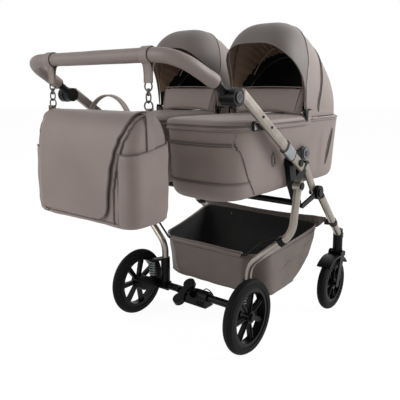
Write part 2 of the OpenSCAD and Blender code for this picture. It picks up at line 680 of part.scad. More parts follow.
module basket_hoop() color(black) {
  difference() {
    both_sides() {
      bent_tube(hoop_route, hoop_r, 20);
      rod(clip_at - 9 * leg_fall, clip_at + 9 * leg_fall, leg_d / 2 + 4);
    }
    both_sides() rod(clip_at - 20 * leg_fall, clip_at + 20 * leg_fall, leg_d / 2 + fit);
  }
}
band_half = basket_front_half - 6;
band_y = basket_front + gap;
module basket_band() color(taupe) translate([-band_half, band_y, 312]) cube([2 * band_half, 5, 46]);
strap_ring = leg_top + 0.69 * (front_leg_foot - leg_top);
strap_out = basket_front_half + gap;
front_leg_dir = unit(front_leg_foot - leg_top);
module basket_straps() color(black) both_sides() difference() {
  union() {
    rod(strap_ring - 12 * front_leg_dir, strap_ring + 12 * front_leg_dir, front_leg_d / 2 + 3);
    translate([strap_out, band_y, strap_ring[2] - 15]) cube([strap_ring[0] - 8 - strap_out, 4, 26]);
  }
  rod(strap_ring - 60 * front_leg_dir, strap_ring + 60 * front_leg_dir, front_leg_d / 2 + fit);
}

// Changing bag with its hanging straps
module bag_plan(w, d, r_out, r_in) for (s = [-1, 1]) {
  translate([s * (w / 2 - r_out), -d / 2 + r_out]) circle(r = r_out, $fn = 32);
  translate([s * (w / 2 - r_in), d / 2 - r_in]) circle(r = r_in, $fn = 32);
}
module bag_layer(z, w, d) translate([0, 0, z]) linear_extrude(0.5)
  hull() bag_plan(w, d, min(44, d / 2 - 7), 16);
module bag_block(grow) hull() {
  bag_layer(-bag_h - grow, bag_w - 30 + grow, bag_d - 24 + grow);
  bag_layer(-bag_h + 22, bag_w + 2 * grow, bag_d + 2 * grow);
  bag_layer(-46, bag_w + 2 * grow, bag_d + 2 * grow);
  bag_layer(-10, bag_w - 8 + 2 * grow, bag_d - 40 + 2 * grow);
  bag_layer(-0.5 + grow, bag_w - 20 + 2 * grow, bag_d - 76 + 2 * grow);
}
bag_wall = 6;
bag_corner = 46;
module bag_room(x_in, y_out, y_in)
  translate([-bag_w / 2 + x_in, -bag_d / 2 + y_out, -bag_h + 24])
    cube([bag_w - 2 * x_in, bag_d - y_out - y_in, bag_h - 76]);
strap_w = 28;
strap_at = bag_w / 2 - 4;
flap_half = strap_at - strap_w / 2 - 3;
module at_bag() translate([bag_x, bag_y, bag_top]) children();
module bag_body() color(taupe) at_bag() difference() {
  bag_block(0);
  bag_room(bag_corner, bag_wall, bag_wall);
  bag_room(bag_wall, bag_corner, 18);
  translate([-bag_w / 2 + 55, -17, -60]) cube([bag_w - 110, 34, 90]);
}
flap_front = 26;
module bag_flap() color(taupe) at_bag() intersection() {
  difference() {
    bag_block(bag_flap_t);
    bag_block(gap);
  }
  translate([-flap_half, -bag_d, -bag_h + 26]) cube([2 * flap_half, bag_d + flap_front, bag_h + 20]);
}
handle_ring = 75;
handle_sink = 26;
module bag_handle() color(taupe) at_bag() difference() {
  translate([0, bag_d / 2 - 30, 0]) frame_at([0, 0, 0], [1, 0, 0], [0, 0, 1], [0, -1, 0])
    linear_extrude(20, center = true) intersection() {
      translate([0, -handle_sink]) difference() {
        circle(r = handle_ring);
        circle(r = handle_ring - 5);
      }
      translate([-handle_ring - 9, -14]) square([2 * handle_ring + 18, handle_ring + 24]);
    }
  bag_block(fit);
}
ring_at = [78, 104, 128];
tab_low = bag_top - 112;
tab_top = handle_z - ring_at[2] - 4;
module hang_straps() color(taupe) for (s = [-1, 1]) translate([bag_x + s * strap_at, bag_y, 0]) {
  difference() {
    union() {
      rod_x(grip_d / 2 + 3, -strap_w / 2, strap_w / 2, [0, handle_z]);
      translate([-strap_w / 2, -3, handle_z - 70]) cube([strap_w, 6, 56]);
    }
    rod_x(grip_d / 2 + gap, -strap_w, strap_w, [0, handle_z]);
  }
  for (i = [0:2]) translate([0, 0, handle_z - ring_at[i]]) rotate([90, 0, i == 1 ? 90 : 0])
    rotate_extrude() translate([i == 1 ? 11 : 12, 0]) circle(r = 2.2);
  mirror([s < 0 ? 1 : 0, 0, 0]) translate([4 + gap, -13, tab_low]) cube([3, 26, tab_top - tab_low]);
}

seat() rear_tyre_l();
seat() rear_tyre_r();
seat() rear_rim_l();
seat() rear_rim_r();
seat() front_tyre_l();
seat() front_tyre_r();
seat() front_rim_l();
seat() front_rim_r();
seat() swing_arm_l();
seat() swing_arm_r();
seat() coil_spring_l();
seat() coil_spring_r();
seat() rear_legs();
seat() leg_sleeves();
seat() axle_beam();
seat() brake_housing();
seat() brake_pedal();
seat() brake_cable();
seat() basket();
seat() basket_hoop();
seat() basket_band();
seat() basket_straps();
seat() lower_tubes();
seat() knuckles();
seat() adapters();
seat() adapter_button_l();
seat() adapter_button_r();
seat() cross_bar();
seat() front_legs();
seat() front_hinge_discs();
seat() stay_links();
seat() caster_housings();
seat() fork_l();
seat() fork_r();
seat() swivel_toggle_l();
seat() swivel_toggle_r();
seat() main_tubes();
seat() lock_sleeve_l();
seat() lock_sleeve_r();
seat() hinge_housings();
seat() tilt_button_l();
seat() tilt_button_r();
seat() handle_arms();
seat() handle_grip();
seat() cot_shell_l();
seat() cot_shell_r();
seat() mattress_l();
seat() mattress_r();
seat() apron_l();
seat() apron_r();
seat() wind_flap_l();
seat() wind_flap_r();
seat() hood_l();
seat() hood_r();
seat() visor_l();
seat() visor_r();
seat() bag_body();
seat() bag_flap();
seat() bag_handle();
seat() hang_straps();
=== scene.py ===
import bpy
from math import copysign, cos, exp, pi, radians, sin, sqrt, tan
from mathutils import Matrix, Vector, noise


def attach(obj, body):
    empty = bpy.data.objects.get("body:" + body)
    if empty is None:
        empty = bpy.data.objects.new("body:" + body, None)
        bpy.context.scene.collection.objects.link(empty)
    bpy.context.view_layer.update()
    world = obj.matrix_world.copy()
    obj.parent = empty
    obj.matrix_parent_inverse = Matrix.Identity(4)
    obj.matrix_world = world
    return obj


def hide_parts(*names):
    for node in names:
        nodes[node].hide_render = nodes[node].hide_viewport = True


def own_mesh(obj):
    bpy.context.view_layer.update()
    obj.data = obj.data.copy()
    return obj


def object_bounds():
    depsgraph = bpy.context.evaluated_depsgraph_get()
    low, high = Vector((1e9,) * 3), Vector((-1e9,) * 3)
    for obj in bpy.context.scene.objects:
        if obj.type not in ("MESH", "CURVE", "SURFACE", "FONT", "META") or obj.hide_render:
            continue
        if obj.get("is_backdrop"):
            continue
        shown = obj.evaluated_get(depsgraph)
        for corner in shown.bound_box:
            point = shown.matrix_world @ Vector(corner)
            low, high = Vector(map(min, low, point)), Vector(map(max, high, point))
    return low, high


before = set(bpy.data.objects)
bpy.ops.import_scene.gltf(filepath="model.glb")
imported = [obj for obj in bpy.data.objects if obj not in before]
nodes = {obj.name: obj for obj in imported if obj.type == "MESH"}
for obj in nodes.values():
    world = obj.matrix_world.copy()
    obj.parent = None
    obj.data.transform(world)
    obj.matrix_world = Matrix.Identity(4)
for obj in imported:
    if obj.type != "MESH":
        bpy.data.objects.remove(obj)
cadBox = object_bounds()
midY = 59.75  # mm from the rear axle to the middle of the pram's box
sides = ((-1, "l"), (1, "r"))
quarter = radians(90)
print("frame loaded:", len(nodes), "solids")


def spot(x, y, z):  # a place in mm, from the rear axle and the floor
    return Vector((x / 1000, (y - midY) / 1000, z / 1000))


# small tools

def switchTo(mode):
    bpy.ops.object.mode_set(mode=mode)


def deselectAll():
    if bpy.context.object and bpy.context.object.mode != "OBJECT":
        switchTo("OBJECT")
    bpy.ops.object.select_all(action="DESELECT")


def activate(obj):
    deselectAll()
    obj.select_set(True)
    bpy.context.view_layer.objects.active = obj


def named(name, *finishes):
    obj = bpy.context.object
    obj.name = obj.data.name = name
    obj.data.materials.clear()
    for label in finishes:
        obj.data.materials.append(mats[label])
    return obj


def modify(obj, kind, **values):
    activate(obj)
    mod = obj.modifiers.new(kind.lower(), kind)
    for key, value in values.items():
        setattr(mod, key, value)
    bpy.ops.object.modifier_apply(modifier=mod.name)


def refine(obj):
    modify(obj, "SUBSURF", levels=1, render_levels=1)


def thicken(obj, thickness, offset=0, lining=0):  # a lining takes the sheet's second finish
    modify(obj, "SOLIDIFY", thickness=thickness, offset=offset, material_offset=lining)


def bevel(obj, width):
    modify(obj, "BEVEL", width=width, segments=2, limit_method="ANGLE")


def tidyMesh(obj, merge=0.00002):
    activate(obj)
    switchTo("EDIT")
    bpy.ops.mesh.select_all(action="SELECT")
    bpy.ops.mesh.remove_doubles(threshold=merge)
    bpy.ops.mesh.normals_make_consistent(inside=False)
    switchTo("OBJECT")


def smooth(obj, angle=50):
    activate(obj)
    bpy.ops.object.shade_smooth_by_angle(angle=radians(angle))


def applyPlace(obj):
    activate(obj)
    bpy.ops.object.transform_apply(location=True, rotation=True, scale=True)


def joined(name, parts):
    deselectAll()
    for p in parts:
        p.select_set(True)
    bpy.context.view_layer.objects.active = parts[0]
    if len(parts) > 1:
        bpy.ops.object.join()
    parts[0].name = parts[0].data.name = name
    return parts[0]


# a grid whose points are laid out by a rule; wrap closes it round its first direction
def surface(name, rule, across, along, finishes, wrap=False):
    deselectAll()
    bpy.ops.mesh.primitive_grid_add(x_subdivisions=across, y_subdivisions=along, size=2)
    obj = named(name, *finishes)
    for v in obj.data.vertices:
        i = round((v.co.x + 1) / 2 * across)
        j = round((v.co.y + 1) / 2 * along)
        v.co = rule((i % across if wrap else i) / across, j / along)
    tidyMesh(obj)
    return obj


def lofted(name, rings, finishes):
    count, last = len(rings[0]), len(rings) - 1
    rule = lambda u, v: rings[round(v * last)][round(u * count) % count]
    return surface(name, rule, count, last, finishes, wrap=True)


def pipe(name, points, radius, finish, closed=False, roundness=3):
    deselectAll()
    bpy.ops.curve.primitive_nurbs_path_add()
    obj = bpy.context.object
    line = obj.data.splines[0]
    points = evenPoints(points, max(8, len(points)), closed) if len(points) < 6 else points
    line.points.add(len(points) - len(line.points))
    for p, co in zip(line.points, points):
        p.co = (co[0], co[1], co[2], 1)
    line.type = "POLY"
    line.use_cyclic_u = closed
    obj.data.bevel_depth = radius
    obj.data.bevel_resolution = roundness
    obj.data.use_fill_caps = True
    bpy.ops.object.convert(target="MESH")
    obj = named(name, finish)
    smooth(obj)
    return obj


def webbing(name, rule, across, along, label, wall, edge=0.0, wrap=False):  # a sheet with an even wall
    obj = surface(name, rule, across, along, [label], wrap)
    thicken(obj, wall)
    if edge:
        bevel(obj, edge)
    smooth(obj)
    return obj


def evenPoints(points, count, closed=False):  # the line again, in steps of one length
    pts = [Vector(p) for p in points]
    if closed:
        pts.append(pts[0].copy())
    far = [0.0]
    for a, b in zip(pts, pts[1:]):
        far.append(far[-1] + (b - a).length)
    out, k = [], 0
    steps = count if closed else count - 1
    for i in range(count):
        want = far[-1] * i / steps
        while k < len(far) - 2 and far[k + 1] < want:
            k += 1
        span = far[k + 1] - far[k]
        out.append(pts[k].lerp(pts[k + 1], (want - far[k]) / span if span > 1e-9 else 0))
    return out


def softCorners(points, radii, closed, steps=8):  # a line with its corners drawn round
    pts = [Vector(p) for p in points]
    n, out = len(pts), []
    for i, p in enumerate(pts):
        if not closed and i in (0, n - 1):
            out.append(p)
            continue
        a, b = (pts[i - 1] - p), (pts[(i + 1) % n] - p)
        turn = a.angle(b)
        back = min(radii[i] / tan(turn / 2), a.length * 0.499, b.length * 0.499) if turn < 3.13 else 0
        s, e = p + a.normalized() * back, p + b.normalized() * back
        for k in range(steps + 1):
            t = k / steps
            out.append(s * (1 - t) ** 2 + p * 2 * t * (1 - t) + e * t * t)
    return out


def loop(corners, radii, count):  # an even closed loop that starts in the middle of its first side
    start = (Vector(corners[-1]) + Vector(corners[0])) / 2
    line = softCorners(corners, radii, True)
    return evenPoints([start] + line, count, True)


def circle(count):  # the angles of an even circle
    return [2 * pi * k / count for k in range(count)]


def spread(a, b, count):
    return [a + (b - a) * i / (count - 1) for i in range(count)]


def middleOf(points):
    return sum(points, Vector()) / len(points)


def clamp(t):
    return min(1, max(0, t))


def ease(t):
    t = clamp(t)
    return t * t * (3 - 2 * t)


def between(table, x):  # a value read off a table of pairs
    for (a, va), (b, vb) in zip(table, table[1:]):
        if x <= b:
            return va + (vb - va) * ease((x - a) / (b - a))
    return table[-1][1]


def ruffle(obj, size, depth, seed=0.0):  # soft unevenness of cloth, along the normals
    normals = [v.normal.copy() for v in obj.data.vertices]
    for v, n in zip(obj.data.vertices, normals):
        v.co += n * depth * noise.noise(v.co / size + Vector((seed, seed * 0.7, -seed)))


# padded pieces swell under a little pressure, and no point moves further than the cap
def swell(obj, voxel, pressure, cap):
    modify(obj, "REMESH", mode="VOXEL", voxel_size=voxel)
    before = [v.co.copy() for v in obj.data.vertices]
    activate(obj)
    cloth = obj.modifiers.new("swell", "CLOTH")
    cloth.settings.use_pressure = True
    cloth.settings.uniform_pressure_force = pressure
    cloth.settings.effector_weights.gravity = 0
    cloth.settings.tension_stiffness = 15
    cloth.settings.mass = 0.3
    for f in range(1, 21):
        bpy.context.scene.frame_set(f)
    bpy.ops.object.modifier_apply(modifier=cloth.name)
    bpy.context.scene.frame_set(1)
    for v, b in zip(obj.data.vertices, before):
        step = v.co - b
        if step.length > cap:
            v.co = b + step.normalized() * cap
    refine(obj)


# camera, light and floor

cameraSet = {"place": spot(1149.3, -1365.8, 874.1), "tilt": 82.0, "turn": 38.7, "lens": 46.73, "shiftY": -0.1}
bpy.ops.object.camera_add(location=cameraSet["place"],
                          rotation=(radians(cameraSet["tilt"]), 0, radians(cameraSet["turn"])))
camera = bpy.context.object
camera.data.lens = cameraSet["lens"]
camera.data.sensor_width = 36
camera.data.shift_y = cameraSet["shiftY"]
scene = bpy.context.scene
scene.camera = camera
scene.view_settings.view_transform = "Standard"

lightSet = {
    "sky": 0.33, "aim": Vector((0, 0, 0.6)),
    "lamps": [  # place in metres, power in watts, size
        ((2.5, 2.2, 2.0), 100, 1.6),
        ((-1.3, -3.3, 1.9), 58, 2.0),
        ((1.8, -2.6, 2.8), 8, 2.2),
        ((0.2, 2.8, 2.6), 26, 2.4),
    ],
}
for place, power, size in lightSet["lamps"]:
    bpy.ops.object.light_add(type="AREA", location=place)
    lamp = bpy.context.object
    lamp.data.energy = power
    lamp.data.size = size
    lamp.rotation_euler = (lightSet["aim"] - Vector(place)).to_track_quat("-Z", "Y").to_euler()


def feed(tree, socket, value):  # a socket takes a constant or another node's output
    if isinstance(value, bpy.types.NodeSocket):
        tree.links.new(value, socket)
    else:
        socket.default_value = value


def addNode(tree, kind, inputs=None, **values):
    node = tree.nodes.new(kind)
    for key, value in values.items():
        setattr(node, key, value)
    for label, value in (inputs or {}).items():
        feed(tree, node.inputs[label], value)
    return node


def mathNode(tree, operation, *terms):
    return addNode(tree, "ShaderNodeMath", dict(enumerate(terms)), operation=operation).outputs[0]


def seenMask(tree):  # 1 where a camera, mirror or glass ray meets it
    rays = addNode(tree, "ShaderNodeLightPath").outputs
    first = mathNode(tree, "MAXIMUM", rays["Is Camera Ray"], rays["Is Glossy Ray"])
    return mathNode(tree, "MAXIMUM", first, rays["Is Transmission Ray"])


white = (1, 1, 1, 1)
world = bpy.data.worlds.new("studio")
scene.world = world
world.use_nodes = True
tree = world.node_tree
tree.nodes.clear()
skyLight = addNode(tree, "ShaderNodeBackground", {"Color": white, "Strength": lightSet["sky"]})
skyWhite = addNode(tree, "ShaderNodeBackground", {"Color": white})
skyInputs = {0: seenMask(tree), 1: skyLight.outputs[0], 2: skyWhite.outputs[0]}
skyMix = addNode(tree, "ShaderNodeMixShader", skyInputs)
addNode(tree, "ShaderNodeOutputWorld", {0: skyMix.outputs[0]})

floorSet = {"size": 40, "drop": 0.0006, "tone": (0.86, 0.86, 0.86, 1), "glow": 1.1, "glowShare": 0.86}
deselectAll()
bpy.ops.mesh.primitive_plane_add(size=floorSet["size"], location=(0, 0, -floorSet["drop"]))
floorMat = bpy.data.materials.new("studioFloor")
floorMat.use_nodes = True
tree = floorMat.node_tree
tree.nodes.clear()
floorDull = addNode(tree, "ShaderNodeBsdfDiffuse", {"Color": floorSet["tone"]})
floorGlow = addNode(tree, "ShaderNodeEmission", {"Color": white, "Strength": floorSet["glow"]})
floorShare = mathNode(tree, "MULTIPLY", seenMask(tree), floorSet["glowShare"])
floorInputs = {0: floorShare, 1: floorDull.outputs[0], 2: floorGlow.outputs[0]}
floorMix = addNode(tree, "ShaderNodeMixShader", floorInputs)
addNode(tree, "ShaderNodeOutputMaterial", {0: floorMix.outputs[0]})
mats = {"floor": floorMat}
named("studioFloor", "floor")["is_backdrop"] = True
print("camera, light and floor are set")


# finishes

def tint(r, g, b):  # an 8-bit screen colour as the shader wants it
    step = lambda c: c / 12.92 if c <= 0.04045 else ((c + 0.055) / 1.055) ** 2.4
    return (step(r / 255), step(g / 255), step(b / 255), 1)


def newGroup(name, inputs, outputs):
    group = bpy.data.node_groups.new(name, "ShaderNodeTree")
    for label, value in inputs:
        group.interface.new_socket(label, in_out="INPUT", socket_type="NodeSocketFloat").default_value = value
    for label in outputs:
        group.interface.new_socket(label, in_out="OUTPUT", socket_type="NodeSocketFloat")
    return group, group.nodes.new("NodeGroupInput"), group.nodes.new("NodeGroupOutput")


def noiseNode(group, place, **inputs):
    return addNode(group, "ShaderNodeTexNoise", {"Vector": place, **inputs}).outputs[0]


def pebbleGroup():  # pebbled skin of leather and coated cloth
    group, start, end = newGroup("pebbleGrain", [("Size", 900), ("Crease", 0.5)], ["Height", "Tone"])
    place = addNode(group, "ShaderNodeTexCoord").outputs["Object"]
    grain = {"Vector": place, "Scale": start.outputs["Size"]}
    cells = addNode(group, "ShaderNodeTexVoronoi", grain, feature="SMOOTH_F1")
    folds = noiseNode(group, place, Scale=34, Detail=3)
    wide = noiseNode(group, place, Scale=7, Detail=4)
    creased = mathNode(group, "MULTIPLY", folds, start.outputs["Crease"])
    feed(group, end.inputs["Height"], mathNode(group, "ADD", cells.outputs["Distance"], creased))
    feed(group, end.inputs["Tone"], mathNode(group, "MULTIPLY_ADD", wide, 1.8, -0.4))
    return group


def weaveGroup():  # crossing threads
    group, start, end = newGroup("threadWeave", [("Threads", 700)], ["Height", "Tone"])
    place = addNode(group, "ShaderNodeTexCoord").outputs["Object"]
    rows = []
    for turn in ((0.0, 0.0, 0.7854), (0.7854, 0.9, -0.7854)):
        spin = addNode(group, "ShaderNodeMapping", {"Vector": place, "Rotation": turn}).outputs[0]
        thread = {"Vector": spin, "Scale": start.outputs["Threads"], "Distortion": 0.6}
        rows.append(addNode(group, "ShaderNodeTexWave", thread).outputs["Fac"])
    feed(group, end.inputs["Height"], mathNode(group, "MAXIMUM", *rows))
    feed(group, end.inputs["Tone"], noiseNode(group, place, Scale=18, Detail=5))
    return group


def scuffGroup():  # handling marks and dust on hard parts
    group, start, end = newGroup("scuffMarks", [("Size", 60), ("Amount", 0.4)], ["Mask", "Fine"])
    place = addNode(group, "ShaderNodeTexCoord").outputs["Object"]
    marks = noiseNode(group, place, Scale=start.outputs["Size"], Detail=8, Roughness=0.65)
    cut = addNode(group, "ShaderNodeMapRange", {"Value": marks, "From Min": 0.45, "From Max": 0.75})
    feed(group, end.inputs["Mask"], mathNode(group, "MULTIPLY", cut.outputs[0], start.outputs["Amount"]))
    feed(group, end.inputs["Fine"], noiseNode(group, place, Scale=1500))
    return group


groups = {"pebble": pebbleGroup(), "weave": weaveGroup(), "scuff": scuffGroup()}


def finish(name, dark, light, group, values, outputs, rough, bump, **shader):
    mat = bpy.data.materials.new(name)
    mat.use_nodes = True
    tree = mat.node_tree
    skin = tree.nodes["Principled BSDF"]
    effect = addNode(tree, "ShaderNodeGroup", values, node_tree=groups[group])
    tone, height = [effect.outputs[label] for label in outputs]
    colour = addNode(tree, "ShaderNodeMix", data_type="RGBA")
    colour.inputs["A"].default_value = tint(*dark)
    colour.inputs["B"].default_value = tint(*light)
    tree.links.new(tone, colour.inputs["Factor"])
    tree.links.new(colour.outputs["Result"], skin.inputs["Base Color"])
    shine = addNode(tree, "ShaderNodeMapRange", {"Value": tone, "To Min": rough[0], "To Max": rough[1]})
    tree.links.new(shine.outputs[0], skin.inputs["Roughness"])
    raised = addNode(tree, "ShaderNodeBump", {"Strength": bump[0], "Distance": bump[1], "Height": height})
    tree.links.new(raised.outputs[0], skin.inputs["Normal"])
    for label, value in shader.items():
        skin.inputs[label.replace("_", " ")].default_value = value
    return mat


def skinFinish(name, dark, light, size, crease, rough=(0.5, 0.66), bump=(0.35, 0.0006), **shader):
    grain = {"Size": size, "Crease": crease}
    return finish(name, dark, light, "pebble", grain, ("Tone", "Height"), rough, bump, **shader)


def clothFinish(name, dark, light, threads, rough=(0.7, 0.9), bump=(0.4, 0.0005), **shader):
    return finish(name, dark, light, "weave", {"Threads": threads}, ("Tone", "Height"), rough, bump, **shader)


def hardFinish(name, dark, light, size, amount, rough, bump=(0.08, 0.0002), **shader):
    marks = {"Size": size, "Amount": amount}
    return finish(name, dark, light, "scuff", marks, ("Mask", "Fine"), rough, bump, **shader)


dull = {"Specular_IOR_Level": 0.14}
mats.update({
    "taupe": skinFinish("taupeCoatedCloth", (116, 102, 96), (130, 116, 110), 1100, 0.5, Sheen_Weight=0.12),
    "taupeDeep": skinFinish("taupeBasketCloth", (96, 85, 79), (110, 98, 92), 1000, 0.6, Sheen_Weight=0.1),
    # painted shade: the visor is the hood's taupe cloth drawn darker, because it faces down and away from the
    # light
    "taupeVisorPaintedShade": skinFinish("visorPaintedShadeCloth", (84, 76, 73), (97, 88, 85), 1100, 0.5, Sheen_Weight=0.1),
    "taupeBag": skinFinish("taupeBagHide", (118, 104, 98), (133, 119, 113), 900, 0.7, (0.42, 0.58),
                           Sheen_Weight=0.08),
    "seam": skinFinish("seamShade", (72, 63, 60), (86, 76, 72), 1300, 0.2),
    "piping": skinFinish("pipingCord", (106, 94, 89), (120, 108, 102), 1300, 0.2),
    "thread": clothFinish("stitchThread", (140, 129, 123), (158, 147, 140), 2200),
    "grip": skinFinish("gripHide", (112, 99, 94), (130, 117, 111), 620, 0.9, (0.38, 0.55), (0.5, 0.0008)),
    "lining": clothFinish("beigeLining", (128, 103, 85), (152, 127, 107), 900, Sheen_Weight=0.2),
    "liningPale": clothFinish("paleBinding", (184, 166, 148), (200, 184, 167), 1200),
    "darkLining": clothFinish("darkLining", (12, 11, 11), (24, 22, 21), 800),
    "webbing": clothFinish("blackWebbing", (14, 14, 15), (26, 26, 28), 500, bump=(0.6, 0.0008)),
    "jersey": clothFinish("paleJersey", (206, 200, 190), (224, 219, 210), 1100, Sheen_Weight=0.3),
    "plastic": hardFinish("blackMoulding", (6, 6, 7), (17, 17, 19), 46, 0.5, (0.38, 0.56), **dull),
    "metalBlack": hardFinish("blackCoat", (6, 6, 7), (17, 17, 19), 60, 0.5, (0.32, 0.48), **dull),
    "tube": hardFinish("champagneTube", (146, 138, 129), (164, 156, 147), 24, 0.8, (0.3, 0.42), Metallic=0.72),
    "rubber": hardFinish("treadRubber", (7, 7, 8), (19, 18, 18), 90, 0.7, (0.68, 0.86), (0.25, 0.0004), **dull),
    "chrome": hardFinish("satinChrome", (148, 149, 152), (178, 179, 182), 50, 0.6, (0.22, 0.38), Metallic=1.0),
    # this darker metal also goes on the chrome tilt button, where it is painted dark reflection
    "gunmetalAndPaintedReflection": hardFinish("darkFittingAndPaintedReflection", (70, 68, 68), (104, 101, 99), 50, 0.6, (0.24, 0.4), Metallic=0.9),
    "wire": hardFinish("springWire", (138, 148, 144), (168, 176, 172), 80, 0.6, (0.28, 0.42), Metallic=0.8),
    "grey": hardFinish("greyMoulding", (86, 86, 88), (112, 112, 114), 50, 0.5, (0.4, 0.55)),
    "blue": hardFinish("nightBlueButton", (20, 26, 46), (44, 52, 78), 60, 0.5, (0.25, 0.4), Coat_Weight=0.4),
})
print("finishes made:", len(mats))

nodeFinish = {  # the solids that stay as they are, by finish
    "rubber": ["rear_tyre", "front_tyre"],
    "plastic": ["rear_rim", "front_rim", "swing_arm", "leg_sleeves", "brake_housing", "brake_pedal",
                "knuckles", "front_hinge_discs", "caster_housings", "fork", "swivel_toggle", "hinge_housings",
                "handle_arms"],
    "tube": ["rear_legs", "lower_tubes", "front_legs", "main_tubes"],
    "metalBlack": ["axle_beam", "basket_hoop", "cross_bar", "stay_links"],
    "wire": ["coil_spring"], "grey": ["adapters"], "blue": ["adapter_button"], "chrome": ["lock_sleeve"],
    # the tilt button is chrome: its darker gunmetal finish is painted dark reflection
    "gunmetalAndPaintedReflection": ["tilt_button"],
}
stemFinish = {stem: label for label, stems in nodeFinish.items() for stem in stems}
for name, obj in nodes.items():
    stem = name[:-2] if name[-2:] in ("_l", "_r") else name
    obj.data.materials.clear()
    obj.data.materials.append(mats[stemFinish.get(stem, "taupe")])

for side, tag in sides:  # each coil gets a mesh of its own
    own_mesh(nodes["coil_spring_" + tag])


def done(obj, body, slot, *replaced):
    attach(obj, body)
    if replaced:
        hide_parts(*replaced)
    return obj


# brake cable

cableSet = {
    "route": [(6, 82, 119.9), (12, 78, 130), (24, 76, 139), (38, 78, 134), (46, 84, 122), (48, 88, 111.6)],
    "radius": 0.002, "bend": 0.012}
route = [spot(*p) for p in cableSet["route"]]
route = evenPoints(softCorners(route, [cableSet["bend"]] * len(route), False), 28)
cable = pipe("brakeCable", route, cableSet["radius"], "metalBlack")
done(cable, "rear_frame", "black_plastic", "brake_cable")


# cots

cotSet = {
    "x": 183.5, "foot": -192, "head": 520, "footRound": 0.72, "headRound": 0.5,
    "outside": [  # height, half width, inset at the foot and at the head
        (537, 98, 36, 26), (538.5, 114, 25, 15), (545, 123, 16, 9), (556, 130, 10, 4.5), (572, 134.2, 6.5, 2),
        (600, 136.6, 5.5, 1.6), (640, 139.8, 4.2, 1.2), (690, 144, 2.6, 0.8), (730, 147.5, 1.2, 0.4),
        (752, 149.8, 0.6, 0), (764, 151, 0, 0), (769, 151, 0, 0)],
    "inside": [
        (772, 148.5, 3, 3), (771, 143, 8, 8), (764, 139.5, 12, 12), (720, 134.5, 14, 13), (640, 127, 18, 14),
        (600, 123.5, 20, 15), (575, 119, 24, 17), (556, 104, 34, 26), (550.5, 92, 44, 36)],
    "pocket": (88, 366, 696), "pocketFace": 133.4,  # room for the frame's knuckle and adapter
    "middle": 163.75, "lining": (0.5495, 0.7705), "girthSteps": 256, "closing": (0.02, 351, 351), "floor": 550,
}


def cotLoop(z, half, footIn, headIn, count=128):
    y0, y1 = cotSet["foot"] + footIn, cotSet["head"] - headIn
    rf, rh = half * cotSet["footRound"], half * cotSet["headRound"]
    flat = loop([(half, y0, 0), (half, y1, 0), (-half, y1, 0), (-half, y0, 0)], [rf, rh, rh, rf], count)
    rear, front, top = cotSet["pocket"]
    ring = []
    for p in flat:
        deep = max(0, p.x - cotSet["pocketFace"])
        fade = ease((p.y - rear) / 14) * ease((front - p.y) / 14) * ease((top - z) / 16)
        ring.append(Vector((p.x - deep * fade, p.y, z)))
    return ring


def cotSpot(side, p):  # from a cot's own middle plane to the pram
    return spot(side * (cotSet["x"] + p.x), p.y, p.z)


def cotSkin(z):  # the outside's loop at one height
    table = cotSet["outside"]
    read = lambda k: between([(row[0], row[k]) for row in table], z)
    return cotLoop(z, read(1), read(2), read(3), cotSet["girthSteps"])


def onCot(side, turns, z, out):  # a level line on the cot's outside, by share of its girth
    ring, steps, pts = cotSkin(z), cotSet["girthSteps"], []
    for turn in turns:
        i = int(turn * steps)
        p = ring[i % steps].lerp(ring[(i + 1) % steps], turn * steps - i)
        q = ring[(i - 3) % steps] - ring[(i + 3) % steps]
        pts.append(cotSpot(side, p + Vector((-q.y, q.x, 0)).normalized() * out))
    return pts


# a line on the outer or inner side, through places given as y and z
def sideLine(side, places, edge=1, out=0.9):
    pts = []
    for y, z in places:
        ring = [p for p in cotSkin(z) if p.x * edge > 0]
        p = min(ring, key=lambda q: abs(q.y - y))
        pts.append(cotSpot(side, Vector((p.x + edge * out, y, z))))
    return pts


